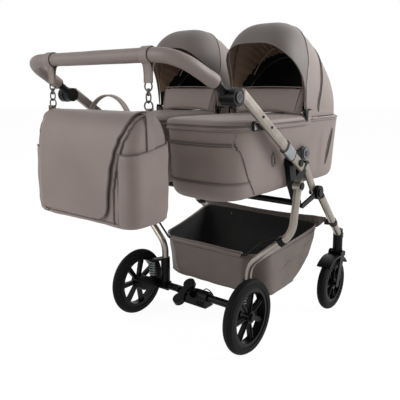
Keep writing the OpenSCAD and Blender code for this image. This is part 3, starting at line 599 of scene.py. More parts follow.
seamSet = {
    "girth": [  # share of the girth from and to, points, height, out, radius, finish
        (-0.067, 0.067, 60, 712, 0.9, 0.0018, "seam"), (-0.067, 0.067, 60, 704, 0.9, 0.0018, "seam"),
        (-0.067, 0.067, 60, 708, 0.4, 0.0016, "piping"), (-0.108, 0.108, 70, 596, 0.9, 0.0016, "seam"),
        (-0.108, 0.108, 70, 590, 0.9, 0.0010, "piping"), (0.30, 0.70, 100, 766, 1.2, 0.0022, "piping"),
        (0.30, 0.70, 100, 757, 0.4, 0.0010, "seam")],
    "side": [(-159, 707), (-147, 696), (-139, 684), (-127, 658), (-115, 629), (-100, 601), (-78, 573),
             (-54, 550)],
    "upper": [(-156, 738), (-158, 728), (-159, 718), (-159, 708)],
    "puller": [(-160, 712), (-156, 708), (-153, 702), (-151, 694)],
}
for side, tag in sides:
    under, floor = [(z, *cotSet["closing"]) for z in (cotSet["outside"][0][0], cotSet["floor"])]
    rows = [under] + cotSet["outside"] + cotSet["inside"] + [floor]
    rings = [[cotSpot(side, p) for p in cotLoop(*row)] for row in rows]
    cot = lofted("cotTub_" + tag, rings, ["taupe", "darkLining"])
    low, high = cotSet["lining"]
    heart = spot(side * cotSet["x"], cotSet["middle"], 0)
    for face in cot.data.polygons:  # the lining starts just inside the rim
        c = face.center - heart
        inner = face.normal.dot(Vector((c.x, c.y, 0))) < 0
        if inner and low < c.z < high:
            face.material_index = 1
    refine(cot)
    ruffle(cot, 0.09, 0.0011, 3.1 * side)
    smooth(cot)
    done(cot, "cot_" + tag, "taupe_fabric", "cot_shell_" + tag)

    lines = [pipe("cotSeam", onCot(side, spread(a, b, count), z, out), radius, label)
             for a, b, count, z, out, radius, label in seamSet["girth"]]
    for edge in (1, -1):
        lines.append(pipe("sideSeam", evenPoints(sideLine(side, seamSet["side"], edge), 24), 0.0016, "seam"))
        upper = evenPoints(sideLine(side, seamSet["upper"], edge), 12)
        lines.append(pipe("sideSeamUpper", upper, 0.0007, "seam"))
    puller = sideLine(side, seamSet["puller"], 1, 2.4)
    lines.append(pipe("zipPull", evenPoints(puller, 8), 0.0030, "gunmetalAndPaintedReflection"))
    done(joined("cotSeams_" + tag, lines), "cot_" + tag, "taupe_fabric")
print("cots are sewn")


# mattresses

mattressSet = {
    "base": 550.3, "grow": 0.006,
    "rows": [  # height, half width, inset at the ends
        (0, 0.02, 351), (0, 84, 54), (6, 92, 46), (22.5, 99, 40), (36, 94, 46), (42.75, 80, 62), (45, 50, 100),
        (45, 0.02, 351)]}
for side, tag in sides:
    base = mattressSet["base"]
    rings = [[cotSpot(side, p) for p in cotLoop(base + up, half, inset, inset, 64)]
             for up, half, inset in mattressSet["rows"]]
    pad = lofted("mattress_" + tag + "_pad", rings, ["jersey"])
    swell(pad, 0.006, 3.0, mattressSet["grow"])
    smooth(pad, 60)
    done(pad, "cot_" + tag, "mattress_cloth", "mattress_" + tag)
print("mattresses are filled")


# aprons over the feet of the cots

apronSet = {"end": 234, "half": 154.2, "foot": -195, "footRound": 110, "wall": 0.0025,
            "rows": [(0, 750), (-0.4, 755), (-0.4, 766), (0.6, 772), (3.5, 776), (9, 778.6), (20, 780.4),
                     (45, 782), (80, 783), (115, 783.4), (140, 783.5), (154.2, 783.5)],
            "seams": [(-0.6, 750, 0.0022, "piping"), (-0.6, 764, 0.0018, "seam"), (-0.9, 760, 0.0010, "seam")]}


def apronLine(inward, z, count=96):
    half, y0 = max(0.02, apronSet["half"] - inward), apronSet["foot"] + inward
    r = max(0.02, min(apronSet["footRound"] - inward * 0.6, half))
    corners = [(half, apronSet["end"], z), (half, y0, z), (-half, y0, z), (-half, apronSet["end"], z)]
    return evenPoints(softCorners(corners, [0, r, r, 0], False, 14), count)


for side, tag in sides:
    rings = [[cotSpot(side, p) for p in apronLine(d, z)] for d, z in apronSet["rows"]]
    last = len(rings) - 1
    rule = lambda u, v: rings[round(v * last)][round(u * 95)]
    apron = surface("footApron_" + tag, rule, 95, last, ["taupe"])
    refine(apron)
    ruffle(apron, 0.07, 0.0012, 5.3 * side)
    thicken(apron, apronSet["wall"], -1)
    smooth(apron)
    done(apron, "cot_" + tag, "taupe_fabric", "apron_" + tag)
    lines = [pipe("apronLine", [cotSpot(side, p) for p in apronLine(inward, z)], radius, label)
             for inward, z, radius, label in apronSet["seams"]]
    done(joined("apronSeams_" + tag, lines), "cot_" + tag, "taupe_fabric")
print("aprons are on")


# wind flaps

flapSet = {"foot": (211.1, 785.85), "lean": 16, "low": 137, "high": 141, "tall": 92, "tuck": 5, "thick": 7.0,
           "fold": 112, "foldBack": 13, "bow": 5, "droop": 3, "girth": 88}


def flapSpot(side, x, up, out):  # up the flap and out from its face, towards the pusher
    a = radians(flapSet["lean"])
    c, s = cos(a), sin(a)
    y0, z0 = flapSet["foot"]
    return spot(side * cotSet["x"] + x, y0 + up * s - out * c, z0 + up * c + out * s)


def flapHalf(t):
    return flapSet["low"] + (flapSet["high"] - flapSet["low"]) * t


def flapTurn(x, t):  # beyond its fold the flap turns back to the hood
    return -flapSet["foldBack"] * ease((abs(x) - flapSet["fold"] - 12 * t) / 22)


for side, tag in sides:
    rings = []
    for k in range(17):  # cross cuts, each a slim rounded loop
        t = k / 16
        half = flapHalf(t) - (1 - sqrt(max(0, 1 - max(0, (t - 0.9) / 0.1) ** 2))) * 8
        fat = flapSet["thick"] / 2 * (0.55 + 0.45 * sin(pi * min(1, t * 1.1)))
        bow = flapSet["bow"] * sin(pi * t)
        corners = [(half, -fat, 0), (half, fat, 0), (-half, fat, 0), (-half, -fat, 0)]
        up = -flapSet["tuck"] + t * (flapSet["tall"] + flapSet["tuck"])
        ring = []
        for p in loop(corners, [fat * 0.98] * 4, flapSet["girth"]):
            edge = (p.x / half) ** 2
            out = p.y + flapTurn(p.x, t) + bow * (1 - edge)
            ring.append(flapSpot(side, p.x, up - flapSet["droop"] * edge * t, out))
        rings.append(ring)
    rings = [[middleOf(ring)] * flapSet["girth"] if k in (0, 18) else ring
             for k, ring in enumerate([rings[0]] + rings + [rings[-1]])]
    flap = lofted("windFlap_" + tag, rings, ["taupe"])
    swell(flap, 0.004, 3.0, 0.004)
    smooth(flap, 60)
    done(flap, "wind_flap_" + tag, "taupe_fabric", "wind_flap_" + tag)
    hem = []
    for x in spread(-136, 136, 60):
        edge = (x / flapSet["high"]) ** 2
        up = flapSet["tall"] - flapSet["droop"] * edge
        hem.append(flapSpot(side, x, up, 2 + flapTurn(x, 1) + 1.2 * (1 - edge)))
    lines = [pipe("flapPiping", hem, 0.0020, "piping")]
    for edge in (1, -1):
        fold = [flapSpot(side, edge * (flapSet["fold"] + 2 + 12 * t), 86 * t + 2,
                         3.4 + 4.6 * sin(pi * (0.08 + 0.84 * t))) for t in spread(0, 1, 14)]
        lines.append(pipe("flapFold", fold, 0.0014, "seam"))
    done(joined("windFlapSeams_" + tag, lines), "wind_flap_" + tag, "taupe_fabric")
print("wind flaps are padded")


# hoods and visors

hoodSet = {"pivot": (222, 790), "half": 148, "rise": 300, "front": 95, "round": 55, "dipFrom": 86, "dip": 52,
           "wall": 0.003, "low": 0.012, "bunch": 0.055, "skirt": 8, "skirtDrop": 0.0168, "zip": (0.107, 54)}
visorSet = {"back": [(0, 94), (0.28, 92), (0.42, 86), (0.57, 80.5), (1, 79)], "front": (97.8, 17.4, 0.13, 0.82),
            "grow": 3.6, "wall": 0.0028}
frillSet = {"edge": 0.05, "angle": 95.5, "sweep": 43, "gap": 7, "deep": 26, "wall": 0.0012}
bowSet = ((0.04, 60, 44, -14, 0.0030, "grey"),  # share at its end, points, angle, grow, radius, finish
          (0.16, 50, 62, -38, 0.0016, "liningPale"))
skirtSet = {"out": 146.2, "y": 203, "long": 113, "z": 769, "tall": 26, "wall": 0.002}
hingeSet = {"y": 216, "z": 782, "out": 155.4, "wide": 11, "tall": 23, "slant": 0.14,
            "face": [(0.02, 3.2), (0.6, 3.0), (0.9, 2.2), (1.0, 1.0), (1.0, 0.0), (0.02, 0.0)]}
pivotSet = {"radius": 0.0135, "thick": 0.004, "out": 3.4, "rim": 0.004, "dish": 0.0012, "hub": 0.003}


def hoodSpot(side, u, angle, grow=0.0):  # u runs over the arch from one side to the other
    a = pi * (1 - u)
    c, s = cos(a), max(0, sin(a))
    k = ease(angle / hoodSet["round"])  # boxy at the cot's head, round at the visor
    dip = hoodSet["dip"] * max(0, (angle - hoodSet["dipFrom"]) / 30) ** 2
    high = (hoodSet["rise"] + grow - dip) * s ** (0.4 + 0.4 * k)
    wide = (hoodSet["half"] + grow) * copysign(abs(c) ** (0.35 + 0.23 * k), c)
    t = radians(angle)
    y0, z0 = hoodSet["pivot"]
    return spot(side * cotSet["x"] + wide, y0 + high * cos(t), z0 + high * sin(t))


def archShare(u):  # 0 at the pivots, 1 at the top
    return max(0, sin(pi * u)) ** 0.8


def zipAngle(u):
    low, top = hoodSet["zip"]
    return top * max(0, (archShare(u) - low) / (1 - low)) ** 0.46


def visorBack(u):
    return between(visorSet["back"], archShare(u))


def visorFront(u):
    angle, more, low, span = visorSet["front"]
    return angle + more * ease((archShare(u) - low) / span)


def hoodRow(v):  # sweep angle by share, with the skirt below the pivots first
    return -hoodSet["skirt"] + (hoodSet["front"] + hoodSet["skirt"]) * v


def archPlace(t):  # closer steps near the pivots
    t = hoodSet["low"] + (1 - 2 * hoodSet["low"]) * t
    return t - hoodSet["bunch"] * sin(4 * pi * t)


def hoodSkin(side, u, v):
    u = archPlace(u)
    angle = hoodRow(v)
    if angle < 0:  # the skirt stands on the rim
        p = hoodSpot(side, u, 0, -0.5)
        return p + Vector((0, 0, angle / hoodSet["skirt"] * hoodSet["skirtDrop"]))
    split = zipAngle(u)
    share = archShare(u)
    if angle < split:
        puff = 3.0 * sin(pi * angle / split) ** 0.7 * share - 1.5
    else:
        puff = 1.0 * sin(pi * (angle - split) / max(1, hoodSet["front"] - split)) * share - 1.2
    return hoodSpot(side, u, angle, puff)


def visorSkin(side, u, v):
    u = archPlace(u)
    angle = visorBack(u) + (visorFront(u) - visorBack(u)) * v
    return hoodSpot(side, u, angle, visorSet["grow"] + 1.2 * sin(pi * v) * archShare(u))


for side, tag in sides:
    rule = lambda u, v: hoodSkin(side, u, v)
    hood = surface("hoodCover_" + tag, rule, 72, 40, ["taupe", "darkLining"])
    ruffle(hood, 0.06, 0.0012, 2.2 * side)
    thicken(hood, hoodSet["wall"], -1, 1)
    refine(hood)
    smooth(hood)
    done(hood, "cot_" + tag, "taupe_fabric", "hood_" + tag)

    rule = lambda u, v: visorSkin(side, u, v)
    # the visor takes the darker taupe, which is painted shade
    visor = surface("visorCover_" + tag, rule, 72, 14, ["taupeVisorPaintedShade", "lining"])
    thicken(visor, visorSet["wall"], -1, 1)
    refine(visor)
    smooth(visor)
    done(visor, "visor_" + tag, "taupe_fabric", "visor_" + tag)

    arch = [0.0195 + 0.961 * (t - hoodSet["bunch"] * sin(4 * pi * t)) for t in spread(0, 1, 110)]
    steps = spread(0, 1, 90)
    rim = [hoodSkin(side, u, 0.004) + Vector((0, 0, 0.001)) for u in steps]
    lines = [pipe("hoodZip", [hoodSpot(side, u, zipAngle(u) - 1.2, 0.6) for u in arch], 0.0017, "seam"),
             pipe("hoodZipTwin", [hoodSpot(side, u, zipAngle(u) + 1.6, 0.4) for u in arch], 0.0015, "piping"),
             pipe("hoodRim", rim, 0.0020, "piping")]
    done(joined("hoodSeams_" + tag, lines), "cot_" + tag, "taupe_fabric")
    binding = [hoodSpot(side, u, visorFront(u) - 4.5, 0.4) for u in spread(0.05, 0.95, 90)]
    # the visor's front edge also takes the darker taupe, which is painted shade
    lines = [pipe("visorEdge", [visorSkin(side, u, 1) for u in steps], 0.0026, "taupeVisorPaintedShade"),
             pipe("visorBackEdge", [visorSkin(side, u, 0) for u in steps], 0.0018, "piping"),
             pipe("visorBinding", binding, 0.0014, "liningPale")]
    done(joined("visorSeams_" + tag, lines), "visor_" + tag, "taupe_fabric")

    def frill(u, v):  # gathered lining just inside the visor
        u = frillSet["edge"] + (1 - 2 * frillSet["edge"]) * u
        wave = sin(u * 150) * 2.2 + sin(u * 61 + 1) * 1.6
        angle = frillSet["angle"] - frillSet["sweep"] * v * archShare(u) ** 0.5
        inward = frillSet["gap"] + frillSet["deep"] * v * archShare(u)
        return hoodSpot(side, u, angle, wave * (0.3 + v) - inward)
    frillSheet = webbing("hoodFrill_" + tag, frill, 220, 8, "lining", frillSet["wall"])
    done(frillSheet, "cot_" + tag, "taupe_fabric")

    bows = []
    for edge, count, angle, grow, radius, label in bowSet:
        line = [hoodSpot(side, u, angle, grow) for u in spread(edge, 1 - edge, count)]
        bows.append(pipe("hoodBow", line, radius, label))
    done(joined("hoodBows_" + tag, bows), "cot_" + tag, "adapter_grey")

    skirts = []
    for edge in (-1, 1):  # cloth tucked in behind the hinge
        x = side * cotSet["x"] + edge * skirtSet["out"]
        rule = lambda u, v: spot(x, skirtSet["y"] + skirtSet["long"] * u, skirtSet["z"] + skirtSet["tall"] * v)
        skirts.append(surface("hoodSkirt", rule, 12, 4, ["taupe"]))
        thicken(skirts[-1], skirtSet["wall"])
    done(joined("hoodSkirts_" + tag, skirts), "cot_" + tag, "taupe_fabric")

    plates = []
    for edge in (-1, 1):  # slanted oval hinge plates with a crowned face
        rings = []
        y0, z0, slant = hingeSet["y"], hingeSet["z"], hingeSet["slant"]
        for grow, out in hingeSet["face"]:
            x = side * cotSet["x"] + edge * (hingeSet["out"] + out)
            wide, tall = hingeSet["wide"] * grow, hingeSet["tall"] * grow
            oval = [(wide * cos(t), tall * sin(t)) for t in circle(36)]
            rings.append([spot(x, y0 + y - z * slant, z0 + z) for y, z in oval])
        plates.append(lofted("hingePlate", rings, ["plastic"]))
        smooth(plates[-1], 40)
    done(joined("hoodHingePlates_" + tag, plates), "cot_" + tag, "black_plastic")

    pivots = []
    for edge in (-1, 1):  # turned discs with a dished face
        deselectAll()
        place = spot(side * cotSet["x"] + edge * (hoodSet["half"] + pivotSet["out"]), *hoodSet["pivot"])
        bpy.ops.mesh.primitive_cylinder_add(vertices=40, radius=pivotSet["radius"], depth=pivotSet["thick"],
                                            location=place, rotation=(0, quarter, 0))
        disc = named("pivot", "plastic")
        applyPlace(disc)
        switchTo("EDIT")
        bpy.ops.mesh.select_all(action="DESELECT")
        switchTo("OBJECT")
        for face in disc.data.polygons:
            face.select = abs(face.normal.x) > 0.9
        switchTo("EDIT")
        bpy.ops.mesh.select_mode(type="FACE")
        bpy.ops.mesh.inset(thickness=pivotSet["rim"], depth=-pivotSet["dish"])
        bpy.ops.mesh.inset(thickness=pivotSet["hub"], depth=pivotSet["dish"])
        switchTo("OBJECT")
        bevel(disc, 0.0005)
        smooth(disc, 35)
        pivots.append(disc)
    done(joined("visorPivots_" + tag, pivots), "visor_" + tag, "black_plastic")
print("hoods and visors are stretched")


# basket

basketSet = {  # corners at the floor and at the hem: half width, y, z
    "rear": ((145, 118, 144), (165, 100, 288)), "middle": ((236, 180, 129), (236, 154, 297)),
    "front": ((234, 358, 133), (278, 475, 348)), "rounds": [14, 40, 46, 46, 40, 14], "rows": 16, "sag": 8,
    "girth": 132, "floor": (0, 250, 133), "wall": 0.003,
    "hems": [  # share of the height, out, radius, finish
        (1.0, 0.5, 0.0030, "taupeDeep"), (0.93, 1.6, 0.0009, "seam"), (0.04, 0.8, 0.0014, "piping")],
    "seamRise": (0.34, 0.44), "seamRun": (190, 245)}
rollSet = {"half": 163, "y": 98, "z": 291, "radius": 0.0102}


def basketLoop(w, shrink=0.0):  # w runs from the floor to the hem
    mix = lambda ends, k, t: ends[0][k] + (ends[1][k] - ends[0][k]) * t
    wide, deep = 1 - (1 - w) ** 1.6, 1 - (1 - w) ** 3.2  # the front bellies out low down
    rear, middle, front = basketSet["rear"], basketSet["middle"], basketSet["front"]
    rh, ry = mix(rear, 0, w) - shrink, mix(rear, 1, w) + shrink
    mh, my = mix(middle, 0, w) - shrink, mix(middle, 1, w) + shrink * 0.5
    fh, fy = mix(front, 0, wide) - shrink, mix(front, 1, deep) - shrink
    corners = [(rh, ry, 0), (mh, my, 0), (fh, fy, 0), (-fh, fy, 0), (-mh, my, 0), (-rh, ry, 0)]
    flat = loop(corners, basketSet["rounds"], basketSet["girth"])
    heights = [(ry, mix(rear, 2, w)), (my, mix(middle, 2, w)), (fy, mix(front, 2, w))]
    ring = []
    for p in flat:
        (ya, za), (yb, zb) = heights[:2] if p.y < my else heights[1:]
        z = za + (zb - za) * clamp((p.y - ya) / max(1, yb - ya))
        sag = basketSet["sag"] * sin(pi * clamp((p.y - ry) / (fy - ry))) * w ** 2
        ring.append(spot(p.x, p.y, z - sag))
    return ring


rings = [[spot(*basketSet["floor"])] * basketSet["girth"], basketLoop(0, 60), basketLoop(0, 12)]
rings += [basketLoop(k / basketSet["rows"]) for k in range(basketSet["rows"] + 1)]
basket = lofted("basketCloth", rings, ["taupeDeep", "darkLining"])
ruffle(basket, 0.08, 0.0034, 7.7)
ruffle(basket, 0.035, 0.0018, 2.9)
thicken(basket, basketSet["wall"], -1, 1)
refine(basket)
smooth(basket)
done(basket, "rear_frame", "taupe_fabric", "basket")
lines = []
low, rise = basketSet["seamRise"]
rear, run = basketSet["seamRun"]
for side, tag in sides:  # a seam that climbs along each side panel
    line = []
    for t in spread(0, 1, 26):
        ring = [p for p in basketLoop(low + rise * t ** 0.8, -0.6) if p.x * side > 0]
        line.append(min(ring, key=lambda p: abs(p.y * 1000 + midY - rear - run * t)))
    lines.append(pipe("basketSideSeam", evenPoints(line, 26), 0.0013, "piping"))
for w, out, radius, label in basketSet["hems"]:
    lines.append(pipe("basketHem", basketLoop(w, -out), radius, label, closed=True))
roll = spread(-rollSet["half"], rollSet["half"], 40)
roll = [spot(x, rollSet["y"], rollSet["z"] + 0.8 * cos(x / 37)) for x in roll]
lines.append(pipe("rearRoll", roll, rollSet["radius"], "taupeDeep", roundness=6))
done(joined("basketHems", lines), "rear_frame", "taupe_fabric")

bandSet = {"half": 300, "low": 318, "high": 374, "y": 476.4}


def gathers(u, v):
    x = bandSet["half"] * (2 * u - 1)
    fold = sin(u * 190) * 2.2 + sin(u * 83 + 2) * 1.8
    pinch = ease((abs(x) - 240) / 60)  # narrows to the strap
    low = bandSet["low"] + 33 * pinch + 3 * sin(u * 71)
    high = bandSet["high"] - 4 * pinch - 14 * (1 - (2 * u - 1) ** 2)
    return spot(x, bandSet["y"] + 1.2 + fold * (1 - 0.7 * v) * (1 - 0.6 * pinch), low + (high - low) * v)


band = webbing("basketElastic", gathers, 260, 8, "taupeDeep", 0.002)
done(band, "rear_frame", "taupe_fabric", "basket_band")
hem = pipe("elasticHem", [gathers(u, 1) for u in spread(0, 1, 120)], 0.0032, "piping")
done(hem, "rear_frame", "taupe_fabric")

strapSet = {"top": (346.3, 320, 497), "foot": (320, 550, 296), "share": 0.69, "grip": 15.6, "wide": 24,
            "tongue": (294, 477.3, 343), "long": 26}
a, b = Vector(strapSet["top"]), Vector(strapSet["foot"])
legDir = (b - a).normalized()
ringAt = a.lerp(b, strapSet["share"])
sideDir = (Vector((1, 0, 0)) - legDir * legDir.x).normalized()
upDir = legDir.cross(sideDir)
for side, tag in sides:
    def cuff(u, v):  # round the leg
        t = 2 * pi * u
        out = (sideDir * cos(t) + upDir * sin(t)) * strapSet["grip"]
        p = ringAt + legDir * strapSet["wide"] * (v - 0.5) + out
        return spot(side * p.x, p.y, p.z)

    def tongue(u, v):  # from the cuff to the band
        x, y, z = strapSet["tongue"]
        x, y = x + strapSet["long"] * u, y + 1.5 * sin(pi * u)
        return spot(side * x, y, z + strapSet["wide"] * v + 2 * u * u)
    parts = [webbing("basketCuff", cuff, 40, 4, "webbing", 0.0016, wrap=True),
             webbing("basketTail", tongue, 12, 4, "webbing", 0.0018)]
    straps = joined("basketStrap_" + tag, parts)
    done(straps, "front_frame", "black_metal", *(["basket_straps"] if side > 0 else []))
print("basket is hung")


# changing bag

bagSet = {
    "x": 15, "y": -410, "top": 804, "rearRound": 44, "frontRound": 18,
    "girth": 120, "rows": [  # height, width, depth
        (-300, 322, 60), (-299, 368, 108), (-294, 388, 126), (-280, 403, 139), (-250, 409, 145),
        (-190, 410, 147), (-120, 408, 146), (-85, 407, 141), (-60, 406, 132), (-40, 404, 120), (-24, 401, 104),
        (-12, 396, 84), (-4, 388, 60), (-1, 374, 36)],
}


def bagSpot(x, y, z):
    return spot(bagSet["x"] + x, bagSet["y"] + y, bagSet["top"] + z)


def bagLoop(z, w, d, grow=0.0, count=bagSet["girth"]):
    w, d = w / 2 + grow, d / 2 + grow
    rear, front = min(bagSet["rearRound"], d * 0.8), min(bagSet["frontRound"], d * 0.5)
    flat = loop([(w, -d, 0), (w, d, 0), (-w, d, 0), (-w, -d, 0)], [rear, front, front, rear], count)
    return [Vector((p.x, p.y, z)) for p in flat]


def bagWidth(z):
    return between([row[:2] for row in bagSet["rows"]], z)


def bagGirth(z, grow=0.0, count=240):
    return bagLoop(z, bagWidth(z), between([row[::2] for row in bagSet["rows"]], z), grow, count)


rings = [[bagSpot(0, 0, bagSet["rows"][0][0])] * bagSet["girth"]]
rings += [[bagSpot(*p) for p in bagLoop(*row)] for row in bagSet["rows"]]
rings.append([bagSpot(0, 0, -0.5)] * bagSet["girth"])
bag = lofted("bagBody", rings, ["taupeBag"])
refine(bag)
ruffle(bag, 0.11, 0.003, 9.4)
ruffle(bag, 0.035, 0.0008, 1.4)
smooth(bag, 60)
done(bag, "bag", "bag_cloth", "bag_body")

bagFlapSet = {
    "wall": 0.0026, "corner": 40, "steps": 60,
    "path": [  # y and z from the front, over the top and down the face
        (28, 3.4), (0, 4.4), (-18, 3.2), (-32, -1.5), (-44, -10), (-55, -22), (-63, -38), (-69, -58),
        (-73.8, -85), (-76.6, -120), (-77.6, -180), (-77, -240), (-75.8, -277)],
    # the edges' distance from the middle, by depth below the top
    "right": [(-3, 183), (7, 182), (35, 174), (65, 160), (98, 147), (144, 134), (220, 124), (280, 121)],
    "left": [(-3, 183), (40, 183), (98, 183), (280, 179)]}
flapPath = [(0, y, z) for y, z in bagFlapSet["path"]]
flapPath = evenPoints(softCorners(flapPath, [60] * len(flapPath), False, 4), bagFlapSet["steps"])
flapLength = sum((b - a).length for a, b in zip(flapPath, flapPath[1:]))


def flapAt(v):
    t = v * (bagFlapSet["steps"] - 1)
    k = min(bagFlapSet["steps"] - 2, int(t))
    a, b = flapPath[k:k + 2]
    return a.lerp(b, t - k), (b - a).normalized()


def bagFlapEdge(edge, v):  # the lower corners are round
    wide = between(bagFlapSet[edge], -flapAt(v)[0].z)
    left, r = (1 - v) * flapLength, bagFlapSet["corner"]
    return wide - (0 if left > r else r - sqrt(max(0, r * r - (r - left) ** 2)))


def bagFlapSpot(u, v, out=0.0):
    p, q = flapAt(v)
    p = p + Vector((0, q.z, -q.y)) * out
    x = bagFlapEdge("right", v) * u - bagFlapEdge("left", v) * (1 - u)
    pull = 14.3 * ease((abs(x) - 158) / 42) * ease((v - 0.2) / 0.1)  # the edge turns round the bag's corner
    return bagSpot(x, p.y + pull, p.z)


flapSheet = surface("bagFlap", lambda u, v: bagFlapSpot(u, v, 0.6), 64, 60, ["taupeBag"])
ruffle(flapSheet, 0.10, 0.0012, 4.2)
thicken(flapSheet, bagFlapSet["wall"])
refine(flapSheet)
smooth(flapSheet)
done(flapSheet, "bag_flap", "bag_cloth", "bag_flap")


def flapRim(edge, inset, out):
    pts = []
    for v in spread(0.05, 0.995, 90):
        wide = bagFlapEdge("left", v) + bagFlapEdge("right", v)
        pts.append(bagFlapSpot(1 - inset / wide if edge == "right" else inset / wide, v, out))
    return pts


lines = [pipe("flapPipingRight", flapRim("right", 0.6, 1.2), 0.0024, "seam"),
         pipe("flapRollRight", flapRim("right", 5.0, 1.2), 0.0020, "taupeBag"),
         pipe("flapPipingLeft", flapRim("left", 0.6, 0.8), 0.0018, "taupeBag"),
         pipe("flapHem", [bagFlapSpot(u, 0.997, 0.8) for u in spread(0.12, 0.88, 30)], 0.0018, "taupeBag")]
done(joined("bagFlapPiping", lines), "bag_flap", "bag_cloth")

# end pockets with a bound mouth, and the seams round the bag
pocketSet = {"from": 0.152, "to": 0.340, "mouthRear": -99, "mouthFront": -74, "dip": 5, "base": -291,
             "grow": 3.2, "wall": 0.002}
trims = []
for end, tag in ((0, "r"), (1, "l")):
    def pocketSpot(u, v, grow):
        turn = pocketSet["from"] + (pocketSet["to"] - pocketSet["from"]) * u
        turn = turn if end == 0 else 1 - turn
        rear, front, base = pocketSet["mouthRear"], pocketSet["mouthFront"], pocketSet["base"]
        mouth = rear + (front - rear) * ease(u) - pocketSet["dip"] * sin(pi * u)
        ring = bagGirth(base + (mouth - base) * v, grow * sin(pi * u) ** 0.4)
        return bagSpot(*ring[round(turn * 240) % 240])
    grow = pocketSet["grow"]
    pocket = surface("bagPocket_" + tag, lambda u, v: pocketSpot(u, v, grow), 30, 24, ["taupeBag"])
    ruffle(pocket, 0.06, 0.0026, 2.0 + end)
    thicken(pocket, pocketSet["wall"])
    smooth(pocket)
    done(pocket, "bag", "bag_cloth")
    mouth = [pocketSpot(u, 1, grow + 0.6) for u in spread(0, 1, 30)]
    trims.append(pipe("pocketMouth", mouth, 0.0024, "seam"))
    for u in (0.0, 1.0):
        trims.append(pipe("pocketSeam", [pocketSpot(u, v, 1.0) for v in spread(0, 1, 24)], 0.0014, "seam"))
gussetSet = {
    "base": -284, "line": [(197, -4), (190, -24), (181, -50), (170, -84), (160, -115), (150, -157), (143, -200),
                           (141, -246), (141, -284)]}
for end in (-1, 1):  # piping round the bag's face, just outside the flap
    line = []
    for p in evenPoints([(x, 0, z) for x, z in gussetSet["line"]], 48):
        ring = [q for q in bagGirth(p.z, 0.8) if q.y < -8 and q.x * end > 0]
        line.append(bagSpot(*min(ring, key=lambda q: abs(abs(q.x) - p.x))))
    trims.append(pipe("gussetPiping", evenPoints(line, 48), 0.0026, "seam"))
line = [bagSpot(*p) for p in bagGirth(gussetSet["base"], 0.6, 120)]
trims.append(pipe("bagBaseSeam", line, 0.0016, "piping", closed=True))
done(joined("bagSeams", trims), "bag", "bag_cloth")

bagHandleSet = {"radius": 88.7, "sink": -42.2, "from": 23, "wide": 20, "y": 43, "wall": 0.0042}


def bagHandleSpot(u, v):
    t = radians(bagHandleSet["from"] + (180 - 2 * bagHandleSet["from"]) * v)
    r = bagHandleSet["radius"]
    across = bagHandleSet["wide"] * (u - 0.5) * (1 - 0.12 * sin(t))
    return bagSpot(-r * cos(t), bagHandleSet["y"] + across, bagHandleSet["sink"] + r * sin(t))


grab = webbing("bagGrab", bagHandleSpot, 6, 48, "taupeBag", bagHandleSet["wall"], 0.001)
done(grab, "bag", "bag_cloth", "bag_handle")
middle = bagSpot(0, bagHandleSet["y"], bagHandleSet["sink"])
lines = []
for u in (0.14, 0.86):
    line = [bagHandleSpot(u, v) for v in spread(0.02, 0.98, 60)]
    lines.append(pipe("grabStitch", [p + (p - middle).normalized() * 0.0022 for p in line], 0.0006, "thread"))
done(joined("bagGrabStitches", lines), "bag", "bag_cloth")
print("bag is packed")


# hanging straps of the bag

hangSet = {
    "at": 201, "bar": 22.0, "wide": 28, "barZ": 954, "gap": 0.35, "steps": 70,
    "tail": [(2.0, -70), (2.2, -46), (4.5, -30)],  # y and z below the bar
    "swivel": [(0.0001, 0.010), (0.0036, 0.010), (0.0048, 0.006), (0.0034, 0.002), (0.0034, -0.002),
               (0.0052, -0.004), (0.0052, -0.008), (0.0001, -0.010)],
    "swivelZ": -93, "rings": [  # height from the bar, radius, wire, spin, stretch
        (-78, 0.0125, 0.0021, (quarter, 0, 0), (1, 1, 1)),
        (-106, 0.0105, 0.0022, (0, quarter, 0), (1.25, 0.8, 1)),
        (-128, 0.0125, 0.0020, (quarter, 0, 0), (1.15, 1, 1))],
}
tabSet = {"top": 16, "long": 114, "wide": 26, "bagHalf": 201.5, "gap": 3.6, "head": 205.4, "headShare": 0.12}
hangLine = [Vector((0, y, z)) for y, z in hangSet["tail"]]
for t in spread(hangSet["gap"], 2 * pi - hangSet["gap"], 40):
    hangLine.append(Vector((0, sin(t), -cos(t))) * hangSet["bar"])
hangLine += [Vector((0, -y, z)) for y, z in reversed(hangSet["tail"])]
hangLine = evenPoints(hangLine, hangSet["steps"])


def ringPiece(place, radius, thick, spin, stretch):
    deselectAll()
    bpy.ops.mesh.primitive_torus_add(major_segments=40, minor_segments=12,
                                     major_radius=radius, minor_radius=thick)
    obj = named("ring", "gunmetalAndPaintedReflection")
    switchTo("EDIT")
    bpy.ops.mesh.select_all(action="SELECT")
    bpy.ops.transform.resize(value=stretch)
    switchTo("OBJECT")
    obj.rotation_euler = spin
    obj.location = place
    applyPlace(obj)
    smooth(obj, 60)
    return obj


def turnedPiece(profile, place):  # a lathe shape about an upright axis
    rings = [[place + Vector((r * cos(t), r * sin(t), z)) for t in circle(28)] for r, z in profile]
    obj = lofted("swivel", rings, ["gunmetalAndPaintedReflection"])
    smooth(obj, 45)
    return obj


